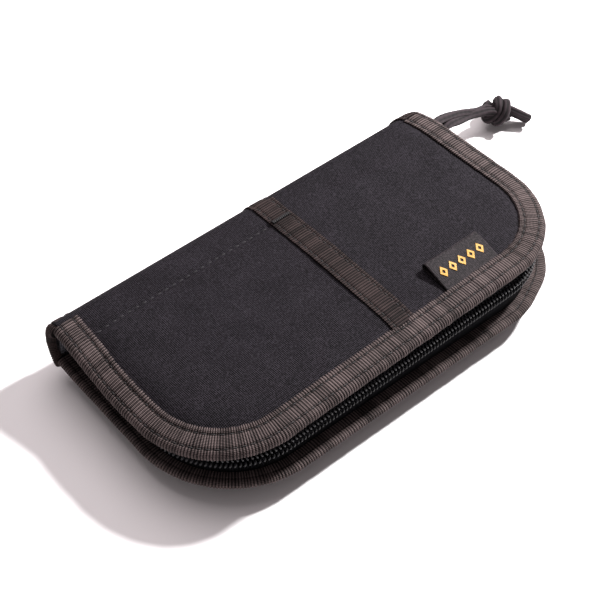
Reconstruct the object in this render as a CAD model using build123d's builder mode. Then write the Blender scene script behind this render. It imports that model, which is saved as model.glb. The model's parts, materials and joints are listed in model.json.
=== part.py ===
"""A zip-around fabric pouch, closed and lying on its back cover, with a knotted cord on its slider.

+X runs along the length towards the end where the closed slider parks, +Y towards the spine and +Z up.
The origin is the centre of the box under the pouch, at the level of the surface that it lies on.
Two padded covers with bound edges are joined by a soft spine along the back. A coil zipper closes the
other three sides. The top cover slopes up towards +X, so the spine is a tapering strip. The bottom
cover's padding bulges down to the surface, so its bound edge stands clear of it all round.
"""

import os
from dataclasses import dataclass
from math import atan, cos, degrees, radians, sin, tan

from build123d import *

# Driving dimensions, mm
BOTTOM_LENGTH = 198.0
TOP_LENGTH = 190.0
DEPTH = 102.0
FRONT_SETBACK = 3.3  # the top cover's front edge stands this far behind the bottom cover's
BOTTOM_CORNER_RADIUS = 42.0
TOP_CORNER_RADIUS = 38.0
TOP_HEIGHT = 26.9  # at the middle of the top cover's length
TOP_RISE = 5.2  # from the middle of the length to either end
BAND_BULGE = 7.8  # the outermost layer of the spine, beyond the hinge lines
ZIP_HEIGHT = 14.6  # the line between the two coils, at the middle of the length
LIFT = 7.0  # the bottom cover's bound edge stands this far above the surface; heights above start there
BELLY_INSET = 11.0  # from the edge of the bulge in the bottom cover to the flat underside

# Layers, mm
BINDING = 0.8
BINDING_WIDTH = 10.5
SHELL = 1.0
PANEL = 0.7
BOARD = 1.0
FOAM = 2.4
LINING = 0.6
TAPE = 0.6
EDGE_CLEARANCE = 1.0  # from the bound edge's outside to the layers inside it
FIELD_INSET = 0.3  # the foam and the board stand this far inside the lining's wall
HINGE_GAP = 0.3

# Zipper, mm
COIL_WIDTH = 3.2
COIL_DEPTH = 2.2
COIL_GAP = 1.0
WALL_END_SETBACK = 5.8  # the zipper wall behind the covers' left ends
WALL_RIGHT_SETBACK = 3.2  # and behind the top cover's right end
WALL_FRONT_SETBACK = 3.4
COIL_END = 9.0  # from the spine's hinge line to the last tooth
TAPE_END = 4.0
STOP_LENGTH = 2.4
SLIDER_LENGTH = 9.0
SLIDER_HALF_WIDTH = 4.8
SLIDER_PLATE = 1.2
SLIDER_CLEARANCE = 0.3
CORD = 4.0  # diameter of the pull cord

# Places that follow from them
HALF_TILT = radians(degrees(atan(TOP_RISE / (TOP_LENGTH / 2))) / 2)
TILT = 2 * HALF_TILT
HINGE_Y = DEPTH / 2 - BAND_BULGE
BACK = HINGE_Y - HINGE_GAP
LEFT = -BOTTOM_LENGTH / 2
TOP_X = LEFT + TOP_LENGTH / 2
TOP_RIGHT = LEFT + TOP_LENGTH
FRONT = -DEPTH / 2


def sloping_plane(angle, height):
    """A plane over the top cover's middle, rising towards +X by the angle."""
    return Plane(
        origin=(TOP_X, 0, height),
        x_dir=(cos(angle), 0, sin(angle)),
        z_dir=(-sin(angle), 0, cos(angle)),
    )


BASE = Plane.XY.offset(LIFT)
TOP = sloping_plane(TILT, LIFT + TOP_HEIGHT)
MIDDLE = sloping_plane(HALF_TILT, LIFT + ZIP_HEIGHT)


@dataclass(frozen=True)
class Outline:
    """A cover's plan: square at the back, round at both front corners."""

    left: float
    right: float
    front: float
    back: float
    radius: float

    def inset(self, distance):
        """The same plan moved inwards on its three outer sides."""
        return Outline(
            self.left + distance,
            self.right - distance,
            self.front + distance,
            self.back,
            self.radius - distance,
        )

    def ending(self, back):
        """The same plan with another back edge."""
        return Outline(self.left, self.right, self.front, back, self.radius)

    def draw(self, mode=Mode.ADD):
        """Draws the plan in the current sketch."""
        left_centre = (self.left + self.radius, self.front + self.radius)
        right_centre = (self.right - self.radius, self.front + self.radius)
        with BuildLine() as plan:
            Line((self.left, self.back), (self.left, left_centre[1]))
            CenterArc(left_centre, self.radius, 180, 90)
            Line((left_centre[0], self.front), (right_centre[0], self.front))
            CenterArc(right_centre, self.radius, 270, 90)
            Line((self.right, right_centre[1]), (self.right, self.back))
            Line((self.right, self.back), (self.left, self.back))
        make_face(plan.edges(), mode=mode)


def plate(plane, low, high, outline):
    """A flat layer between two heights over the plane."""
    with BuildSketch(plane.offset(low)) as layer:
        outline.draw()
    extrude(layer.sketch, amount=high - low)


def rim(plane, low, high, outer, inner):
    """A strip round the three outer sides, between two outlines and two heights."""
    with BuildSketch(plane.offset(low)) as strip:
        outer.draw()
        inner.ending(outer.back + 1).draw(mode=Mode.SUBTRACT)
    extrude(strip.sketch, amount=high - low)


BOTTOM_EDGE = Outline(LEFT, -LEFT, FRONT, BACK, BOTTOM_CORNER_RADIUS)
TOP_EDGE = Outline(
    -TOP_LENGTH / 2, TOP_LENGTH / 2, FRONT + FRONT_SETBACK, BACK, TOP_CORNER_RADIUS
)
WALL = Outline(
    TOP_EDGE.left + WALL_END_SETBACK,
    TOP_EDGE.right - WALL_RIGHT_SETBACK,
    TOP_EDGE.front + WALL_FRONT_SETBACK,
    HINGE_Y - TAPE_END,
    TOP_CORNER_RADIUS - WALL_FRONT_SETBACK,
)
WALL_OVER_BASE = Outline(WALL.left + TOP_X, WALL.right + TOP_X, WALL.front, WALL.back, WALL.radius)
WALL_CLEARANCE = 0.6
pieces = []


def keep(part, name):
    """Names a finished piece and lists it for export."""
    part.label = name
    pieces.append(part)


def tapered(low, low_outline, high, high_outline):
    """A solid between two plans at two heights over the base plane."""
    faces = []
    for height, outline in ((low, low_outline), (high, high_outline)):
        with BuildSketch(BASE.offset(height)) as end:
            outline.draw()
        faces.append(end.sketch)
    loft(faces, ruled=True)


# Bottom cover, from its underside upwards
BOTTOM_FIELD = BINDING_WIDTH + 2.0  # the raised field starts inside the zipper wall
SHELL_TOP = SHELL
FLANGE_LOW = BINDING
FLANGE_HIGH = BINDING + SHELL
BOARD_TOP = SHELL_TOP + BOARD
FOAM_TOP = BOARD_TOP + FOAM
LINING_TOP = FOAM_TOP + LINING
TAPE_LOW = FLANGE_HIGH + LINING
TAPE_HIGH = TAPE_LOW + TAPE
LEG_LOW = TAPE_HIGH + 0.1
LEG_HIGH = LEG_LOW + BINDING

SHELL_WALL = 1.2
FILL_GAP = 0.4
FIELD_EDGE = BOTTOM_EDGE.inset(BOTTOM_FIELD)
FIELD_WALL = FIELD_EDGE.inset(SHELL_WALL).ending(BACK - SHELL_WALL)
BELLY = FIELD_EDGE.inset(BELLY_INSET).ending(BACK - BELLY_INSET)
BELLY_INSIDE = BELLY.inset(SHELL_WALL).ending(BELLY.back - SHELL_WALL)
FILL_LOW = BELLY_INSIDE.inset(FILL_GAP).ending(BELLY_INSIDE.back - FILL_GAP)
FILL_HIGH = FIELD_WALL.inset(FILL_GAP).ending(FIELD_WALL.back - FILL_GAP)

with BuildPart() as bottom_shell:
    tapered(-LIFT, BELLY, 0, FIELD_EDGE)
    plate(BASE, 0, SHELL_TOP, FIELD_EDGE)
    with BuildPart(mode=Mode.SUBTRACT):
        tapered(SHELL - LIFT, BELLY_INSIDE, SHELL_TOP, FIELD_WALL)
    rim(BASE, FLANGE_LOW, FLANGE_HIGH, BOTTOM_EDGE.inset(EDGE_CLEARANCE), BOTTOM_EDGE.inset(BOTTOM_FIELD))
keep(bottom_shell.part, "bottom_shell")

with BuildPart() as bottom_board:
    plate(BASE, SHELL_TOP, BOARD_TOP, BOTTOM_EDGE.inset(BOTTOM_FIELD + LINING + FIELD_INSET))
keep(bottom_board.part, "bottom_board")

with BuildPart() as bottom_foam:
    plate(BASE, BOARD_TOP, FOAM_TOP, BOTTOM_EDGE.inset(BOTTOM_FIELD + LINING + FIELD_INSET))
keep(bottom_foam.part, "bottom_foam")

with BuildPart() as bottom_padding:
    tapered(SHELL - LIFT, FILL_LOW, SHELL_TOP, FILL_HIGH)
keep(bottom_padding.part, "bottom_padding")

with BuildPart() as bottom_lining:
    plate(BASE, FOAM_TOP, LINING_TOP, BOTTOM_EDGE.inset(BOTTOM_FIELD))
    rim(BASE, FLANGE_HIGH, FOAM_TOP, BOTTOM_EDGE.inset(BOTTOM_FIELD), BOTTOM_EDGE.inset(BOTTOM_FIELD + LINING))
    rim(BASE, FLANGE_HIGH, TAPE_LOW, BOTTOM_EDGE.inset(EDGE_CLEARANCE), BOTTOM_EDGE.inset(BOTTOM_FIELD))
keep(bottom_lining.part, "bottom_lining")

with BuildPart() as bottom_binding:
    rim(BASE, 0, BINDING, BOTTOM_EDGE, BOTTOM_EDGE.inset(BINDING_WIDTH))
    rim(BASE, 0, LEG_HIGH, BOTTOM_EDGE, BOTTOM_EDGE.inset(EDGE_CLEARANCE - 0.1))
    rim(BASE, LEG_LOW, LEG_HIGH, BOTTOM_EDGE, WALL_OVER_BASE.inset(-WALL_CLEARANCE))
keep(bottom_binding.part, "bottom_binding")

INNER_POCKET_DEPTH = 58.0
INNER_POCKET_INSET = 14.0
INNER_POCKET = Outline(
    LEFT + INNER_POCKET_INSET,
    -LEFT - INNER_POCKET_INSET,
    FRONT + INNER_POCKET_INSET,
    FRONT + INNER_POCKET_INSET + INNER_POCKET_DEPTH,
    BOTTOM_CORNER_RADIUS - INNER_POCKET_INSET,
)
with BuildPart() as inner_pocket:
    plate(BASE, LINING_TOP, LINING_TOP + LINING, INNER_POCKET)
keep(inner_pocket.part, "inner_pocket")

INNER_TRIM_WIDTH = 8.0
with BuildPart() as inner_pocket_binding:
    with BuildSketch(BASE.offset(LINING_TOP + LINING)):
        with Locations((0, INNER_POCKET.back - INNER_TRIM_WIDTH / 2)):
            Rectangle(INNER_POCKET.right - INNER_POCKET.left, INNER_TRIM_WIDTH)
    extrude(amount=LINING)
keep(inner_pocket_binding.part, "inner_pocket_binding")

# Top cover, from its outer face downwards
FIELD = BINDING_WIDTH
PANEL_TOP = -0.3
PANEL_LOW = PANEL_TOP - PANEL
PANEL_FLANGE_LOW = -BINDING - PANEL
SHELL_LOW = PANEL_LOW - SHELL
SHELL_FLANGE_LOW = PANEL_FLANGE_LOW - SHELL
BOARD_LOW = SHELL_LOW - BOARD
FOAM_LOW = BOARD_LOW - FOAM
LINING_LOW = FOAM_LOW - LINING
TOP_TAPE_HIGH = SHELL_FLANGE_LOW - LINING
TOP_TAPE_LOW = TOP_TAPE_HIGH - TAPE
TOP_LEG_HIGH = TOP_TAPE_LOW - 0.1
TOP_LEG_LOW = TOP_LEG_HIGH - BINDING

with BuildPart() as top_shell:
    plate(TOP, SHELL_LOW, PANEL_LOW, TOP_EDGE.inset(FIELD))
    rim(TOP, SHELL_FLANGE_LOW, PANEL_FLANGE_LOW, TOP_EDGE.inset(EDGE_CLEARANCE), TOP_EDGE.inset(FIELD))
keep(top_shell.part, "top_shell")

with BuildPart() as top_board:
    plate(TOP, BOARD_LOW, SHELL_LOW, TOP_EDGE.inset(FIELD + LINING + FIELD_INSET))
keep(top_board.part, "top_board")

with BuildPart() as top_foam:
    plate(TOP, FOAM_LOW, BOARD_LOW, TOP_EDGE.inset(FIELD + LINING + FIELD_INSET))
keep(top_foam.part, "top_foam")

with BuildPart() as top_lining:
    plate(TOP, LINING_LOW, FOAM_LOW, TOP_EDGE.inset(FIELD))
    rim(TOP, FOAM_LOW, SHELL_FLANGE_LOW, TOP_EDGE.inset(FIELD), TOP_EDGE.inset(FIELD + LINING))
    rim(TOP, TOP_TAPE_HIGH, SHELL_FLANGE_LOW, TOP_EDGE.inset(EDGE_CLEARANCE), TOP_EDGE.inset(FIELD))
keep(top_lining.part, "top_lining")

with BuildPart() as top_binding:
    rim(TOP, -BINDING, 0, TOP_EDGE, TOP_EDGE.inset(BINDING_WIDTH))
    rim(TOP, TOP_LEG_LOW, 0, TOP_EDGE, TOP_EDGE.inset(EDGE_CLEARANCE - 0.1))
    rim(TOP, TOP_LEG_LOW, TOP_LEG_HIGH, TOP_EDGE, WALL.inset(-WALL_CLEARANCE))
keep(top_binding.part, "top_binding")

# Slip pocket on the left half of the top cover, its bound mouth and its stitches
POCKET_MOUTH = 9.5  # from the top cover's middle
BAND_WIDTH = 10.7
BAND_PROUD = 0.5
FOLD = 0.6
SEAM_Y = 31.4
STITCH_PITCH = 3.0
STITCH_LENGTH = 2.2
STITCH_WIDTH = 0.5
STITCH_COUNT = 27

with BuildPart() as pocket_panel:
    plate(TOP, PANEL_LOW, PANEL_TOP, TOP_EDGE.inset(FIELD))
    rim(TOP, PANEL_FLANGE_LOW, -BINDING, TOP_EDGE.inset(EDGE_CLEARANCE), TOP_EDGE.inset(FIELD))
    right_half = Plane(TOP.origin, x_dir=(0, 1, 0), z_dir=TOP.x_dir).offset(POCKET_MOUTH - FOLD)
    split(bisect_by=right_half, keep=Keep.BOTTOM)
keep(pocket_panel.part, "pocket_panel")

BAND_FRONT = TOP_EDGE.front + BINDING_WIDTH
BAND_MIDDLE_Y = (BAND_FRONT + BACK) / 2
with BuildPart() as pocket_band:
    with BuildSketch(TOP.offset(PANEL_TOP)):
        with Locations((POCKET_MOUTH - BAND_WIDTH / 2, BAND_MIDDLE_Y)):
            Rectangle(BAND_WIDTH, BACK - BAND_FRONT)
    extrude(amount=BAND_PROUD - PANEL_TOP)
    with BuildSketch(TOP.offset(PANEL_LOW)):
        with Locations((POCKET_MOUTH - FOLD / 2, BAND_MIDDLE_Y)):
            Rectangle(FOLD, BACK - BAND_FRONT)
    extrude(amount=PANEL)
keep(pocket_band.part, "pocket_band")

BARTACK = (9.0, 1.8, 0.5)
with BuildPart() as bartack:
    with BuildSketch(TOP.offset(BAND_PROUD)):
        with Locations((POCKET_MOUTH - BAND_WIDTH / 2, SEAM_Y)):
            SlotOverall(BARTACK[0], BARTACK[1])
    extrude(amount=BARTACK[2])
keep(bartack.part, "bartack")

seam_middle = POCKET_MOUTH - BAND_WIDTH - 1 - STITCH_PITCH * STITCH_COUNT / 2
with BuildPart() as pocket_seam_thread:
    with BuildSketch(TOP.offset(PANEL_TOP)):
        with Locations((seam_middle, SEAM_Y)):
            with GridLocations(STITCH_PITCH, 1, STITCH_COUNT, 1):
                SlotOverall(STITCH_LENGTH, STITCH_WIDTH)
    extrude(amount=-PANEL_TOP)
keep(pocket_seam_thread.part, "pocket_seam_thread")

# Label: a folded woven tab whose root is caught under the front binding
LABEL_LEFT = 27.5  # from the top cover's middle
LABEL_WIDTH = 28.0
LABEL_LENGTH = 14.0
LABEL_THICKNESS = 0.8
LABEL_LIFT = 6.0  # degrees
label_pivot = TOP.location * Location((0, BAND_FRONT + 0.6, PANEL_LOW + LABEL_THICKNESS / 2 + 0.2))
label_plane = Plane(label_pivot).rotated((LABEL_LIFT, 0, 0))
with BuildPart() as label_tab:
    with BuildSketch(label_plane.offset(-LABEL_THICKNESS / 2)):
        with Locations((LABEL_LEFT + LABEL_WIDTH / 2, LABEL_LENGTH / 2)):
            Rectangle(LABEL_WIDTH, LABEL_LENGTH)
    extrude(amount=LABEL_THICKNESS)
keep(label_tab.part, "label_tab")


# Spine: half-elliptical layers that taper with the distance between the covers
def spine_height(x):
    """The distance between the two hinge lines at a place along the length."""
    return TOP_HEIGHT + (x - TOP_X) * tan(TILT)


def spine_layer(x_low, x_high, outer, inner):
    """A layer of the spine. Outer and inner are each (bulge, distance from the hinge lines)."""
    ends = []
    for x in (x_low, x_high):
        half = spine_height(x) / 2
        with BuildSketch(Plane(origin=(x, HINGE_Y, LIFT + half), x_dir=(0, 1, 0), z_dir=(1, 0, 0))) as end:
            with BuildLine():
                EllipticalCenterArc((0, 0), outer[0], half - outer[1], -90, arc_size=180)
                Line((0, half - outer[1]), (0, half - inner[1]))
                EllipticalCenterArc((0, 0), inner[0], half - inner[1], -90, arc_size=180)
                Line((0, inner[1] - half), (0, outer[1] - half))
            make_face()
        ends.append(end.sketch)
    loft(ends, ruled=True)


SHELL_BULGE = BAND_BULGE - 1.0
SPINE_FACES = [(SHELL_BULGE, BINDING)]
for thickness in (SHELL, 1.5, LINING):
    bulge, edge = SPINE_FACES[-1]
    SPINE_FACES.append((bulge - thickness, edge + thickness))

with BuildPart() as spine_shell:
    spine_layer(LEFT, TOP_RIGHT, SPINE_FACES[0], SPINE_FACES[1])
keep(spine_shell.part, "spine_shell")

with BuildPart() as spine_padding:
    spine_layer(LEFT + 1, TOP_RIGHT - 1, SPINE_FACES[1], SPINE_FACES[2])
keep(spine_padding.part, "spine_padding")

with BuildPart() as spine_lining:
    spine_layer(LEFT, TOP_RIGHT, SPINE_FACES[2], SPINE_FACES[3])
keep(spine_lining.part, "spine_lining")

SPINE_BINDING_FACE = (SHELL_BULGE + BINDING, 0)
with BuildPart() as spine_binding_left:
    spine_layer(LEFT, LEFT + BINDING_WIDTH, SPINE_BINDING_FACE, SPINE_FACES[0])
keep(spine_binding_left.part, "spine_binding_left")

with BuildPart() as spine_binding_right:
    spine_layer(TOP_RIGHT - BINDING_WIDTH, TOP_RIGHT, SPINE_BINDING_FACE, SPINE_FACES[0])
keep(spine_binding_right.part, "spine_binding_right")

band_right = TOP_X + POCKET_MOUTH
with BuildPart() as spine_band:
    spine_layer(band_right - BAND_WIDTH, band_right, (BAND_BULGE, 0), SPINE_FACES[0])
keep(spine_band.part, "spine_band")

# Zipper: two tapes that stand up as a wall between the covers, and a coil on the outside of each
HALF_GAP = COIL_GAP / 2
WALL_REACH = 20.0
COIL_ROUND = 0.9
COIL_PATH = WALL.ending(HINGE_Y - COIL_END)


def coil(low):
    """One row of coils on the outside of the wall, its lower face at a height over the zip line."""
    rim(MIDDLE, low, low + COIL_WIDTH, COIL_PATH.inset(COIL_ROUND - COIL_DEPTH), COIL_PATH)
    rim(
        MIDDLE,
        low + COIL_ROUND,
        low + COIL_WIDTH - COIL_ROUND,
        COIL_PATH.inset(-COIL_DEPTH),
        COIL_PATH,
    )


with BuildPart() as lower_zipper_tape:
    rim(MIDDLE, -WALL_REACH, -HALF_GAP, WALL, WALL.inset(TAPE))
    split(bisect_by=BASE.offset(TAPE_LOW), keep=Keep.TOP)
    lower_flange = BOTTOM_EDGE.inset(EDGE_CLEARANCE).ending(WALL.back)
    rim(BASE, TAPE_LOW, TAPE_HIGH, lower_flange, WALL_OVER_BASE.inset(TAPE))
keep(lower_zipper_tape.part, "lower_zipper_tape")

with BuildPart() as upper_zipper_tape:
    rim(MIDDLE, HALF_GAP, WALL_REACH, WALL, WALL.inset(TAPE))
    split(bisect_by=TOP.offset(TOP_TAPE_HIGH), keep=Keep.BOTTOM)
    upper_flange = TOP_EDGE.inset(EDGE_CLEARANCE).ending(WALL.back)
    rim(TOP, TOP_TAPE_LOW, TOP_TAPE_HIGH, upper_flange, WALL.inset(TAPE))
keep(upper_zipper_tape.part, "upper_zipper_tape")

with BuildPart() as lower_coil:
    coil(-HALF_GAP - COIL_WIDTH)
keep(lower_coil.part, "lower_coil")

with BuildPart() as upper_coil:
    coil(HALF_GAP)
keep(upper_coil.part, "upper_coil")


def coil_stop(side, low, high):
    """A clip over the last tooth, outside the wall's left (-1) or right (1) end."""
    face = COIL_PATH.left if side < 0 else COIL_PATH.right
    with BuildSketch(MIDDLE.offset(low)) as clip:
        with Locations((face + side * COIL_DEPTH / 2, COIL_PATH.back + STOP_LENGTH / 2)):
            Rectangle(COIL_DEPTH, STOP_LENGTH)
    extrude(clip.sketch, amount=high - low)


COIL_FAR = HALF_GAP + COIL_WIDTH
with BuildPart() as bottom_stop:
    coil_stop(-1, -COIL_FAR, -HALF_GAP)
keep(bottom_stop.part, "bottom_stop")

with BuildPart() as top_stops_upper:
    coil_stop(1, HALF_GAP, COIL_FAR)
    coil_stop(-1, HALF_GAP, COIL_FAR)
keep(top_stops_upper.part, "upper_coil_stops")

# Slider, parked at the closed end of the right-hand stretch of the zipper
SLIDER_Y = COIL_PATH.back + STOP_LENGTH + 1.0
SLIDER_X = WALL_OVER_BASE.right
SLIDER_Z = LIFT + ZIP_HEIGHT + WALL.right * tan(HALF_TILT)
SLIDER = Plane(origin=(SLIDER_X, SLIDER_Y, SLIDER_Z), x_dir=(0, 1, 0), z_dir=(1, 0, 0))
OUTER_PLATE_LOW = COIL_DEPTH + SLIDER_CLEARANCE
OUTER_PLATE_HIGH = OUTER_PLATE_LOW + SLIDER_PLATE
INNER_PLATE_HIGH = -TAPE - SLIDER_CLEARANCE
INNER_PLATE_LOW = INNER_PLATE_HIGH - SLIDER_PLATE
FLANGE_INSIDE = COIL_FAR + SLIDER_CLEARANCE
FLANGE_THICKNESS = SLIDER_HALF_WIDTH - FLANGE_INSIDE
FLANGE_LOW_X = 0.5
POST_WIDTH = COIL_GAP - 0.4
POST_LENGTH = 2.0

# The flange beside the upper coil is left off, so that the top cover can lift away from the slider.
with BuildPart() as slider_body:
    with BuildSketch(SLIDER.offset(OUTER_PLATE_LOW)):
        RectangleRounded(SLIDER_LENGTH, 2 * SLIDER_HALF_WIDTH, 2)
    extrude(amount=SLIDER_PLATE)
    with BuildSketch(SLIDER.offset(FLANGE_LOW_X)):
        with Locations((0, FLANGE_THICKNESS / 2 - SLIDER_HALF_WIDTH)):
            Rectangle(SLIDER_LENGTH - 4, FLANGE_THICKNESS)
    extrude(amount=OUTER_PLATE_LOW - FLANGE_LOW_X)
    with BuildSketch(SLIDER.offset(INNER_PLATE_LOW)):
        RectangleRounded(SLIDER_LENGTH, 2 * FLANGE_INSIDE, 2)
    extrude(amount=SLIDER_PLATE)
    with BuildSketch(SLIDER.offset(INNER_PLATE_HIGH)):
        with Locations((POST_LENGTH / 2 - SLIDER_LENGTH / 2 + 0.5, 0)):
            Rectangle(POST_LENGTH, POST_WIDTH)
    extrude(amount=OUTER_PLATE_LOW - INNER_PLATE_HIGH)
keep(slider_body.part, "slider_body")

BRIDGE_REACH = 5.6
BRIDGE_THICKNESS = 1.1
BRIDGE_HALF_SPAN = 3.7
BRIDGE_WIDTH = 2.4
bridge_plane = Plane(
    origin=(SLIDER_X + OUTER_PLATE_HIGH, SLIDER_Y, SLIDER_Z - BRIDGE_WIDTH / 2),
    x_dir=(1, 0, 0),
    z_dir=(0, 0, 1),
)
with BuildPart() as slider_bridge:
    with BuildSketch(bridge_plane):
        with Locations((BRIDGE_REACH / 2, 0)):
            Rectangle(BRIDGE_REACH, 2 * BRIDGE_HALF_SPAN)
        with Locations(((BRIDGE_REACH - BRIDGE_THICKNESS) / 2, 0)):
            Rectangle(
                BRIDGE_REACH - BRIDGE_THICKNESS,
                2 * (BRIDGE_HALF_SPAN - BRIDGE_THICKNESS),
                mode=Mode.SUBTRACT,
            )
    extrude(amount=BRIDGE_WIDTH)
    fillet(edges().filter_by(Axis.Z).group_by(Axis.X)[-1], 1.0)
keep(slider_bridge.part, "slider_bridge")

# Pull cord: one cord passes behind the bridge, and both halves run out to a knot on the surface
CORD_X = SLIDER_X + OUTER_PLATE_HIGH + (BRIDGE_REACH - BRIDGE_THICKNESS) / 2
TURN_OUT = 3.0  # each strand turns from the bridge's line out towards +X over this much
upper_route = [
    (CORD_X, SLIDER_Y, SLIDER_Z),
    (CORD_X, SLIDER_Y + 0.4, SLIDER_Z + 3.5),
    (CORD_X + TURN_OUT, SLIDER_Y + 1.8, SLIDER_Z + 5.6),
    (104.7, 45.2, 24.8),
    (115.5, 47.6, 18.8),
    (130.0, 50.2, 12.6),
    (142.7, 50.5, 8.6),
]
lower_route = [
    (CORD_X, SLIDER_Y, SLIDER_Z),
    (CORD_X, SLIDER_Y - 0.2, SLIDER_Z - 3.5),
    (CORD_X + TURN_OUT, SLIDER_Y + 0.6, SLIDER_Z - 5.4),
    (104.0, 39.6, 20.6),
    (115.0, 43.0, 16.6),
    (129.0, 46.8, 9.6),
    (142.7, 48.3, 5.2),
]
upper_tail_route = [
    (153.95, 40.9, 9.2),
    (157.3, 38.4, 7.5),
    (160.4, 35.4, 6.3),
]
lower_tail_route = [
    (153.4, 40.6, 4.2),
    (157.2, 38.9, 3.3),
    (160.2, 36.0, 2.1),
]


def arc_radii(route):
    """The largest tangent arc that each corner's two runs allow."""
    points = [Vector(*point) for point in route]
    radii = []
    for before, corner, after in zip(points, points[1:], points[2:]):
        turn = (corner - before).get_angle(after - corner)
        run = min((corner - before).length, (after - corner).length)
        radii.append(0.45 * run / tan(radians(turn) / 2))
    return radii


def cord_tube(name, route):
    """A round cord along the route."""
    radii = arc_radii(route)
    with BuildLine() as path:
        FilletPolyline(*route, radius=radii)
    with BuildPart() as tube:
        with BuildSketch(Plane(origin=path.line @ 0, z_dir=path.line % 0)) as section:
            Circle(CORD / 2)
        sweep(section.sketch, path=path.line)
    keep(tube.part, name)
    length = sum(edge.length for edge in path.edges())
    print(name, "length", round(length, 1), "radii", [round(radius, 1) for radius in radii])
    print("  volume over section times length", round(tube.part.volume / (length * 3.1416 * CORD**2 / 4), 4))


cord_tube("pull_cord_upper", upper_route)
cord_tube("pull_cord_lower", lower_route)
cord_tube("cord_tail_upper", upper_tail_route)
cord_tube("cord_tail_lower", lower_tail_route)

KNOT_START = (143.0, 48.3, 6.6)
KNOT_RADIUS = 6.5
KNOT_LENGTH = 13.0
KNOT_ROUND = 3.0
with BuildPart() as pull_cord_knot:
    with BuildSketch(Plane(origin=KNOT_START, z_dir=(1, 0, 0))):
        Circle(KNOT_RADIUS)
    extrude(amount=KNOT_LENGTH)
    fillet(edges(), KNOT_ROUND)
keep(pull_cord_knot.part, "pull_cord_knot")

os.makedirs("parts", exist_ok=True)
for piece in pieces:
    export_step(piece, f"parts/{piece.label}.step")
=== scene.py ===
"""The closed zip-around pouch in detail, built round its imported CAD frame.

Lengths in this script are millimetres, in the row's frame, and mesh_piece() turns them into metres.
"""

import json

from math import atan2, ceil, cos, pi, radians, sin, tan

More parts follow.
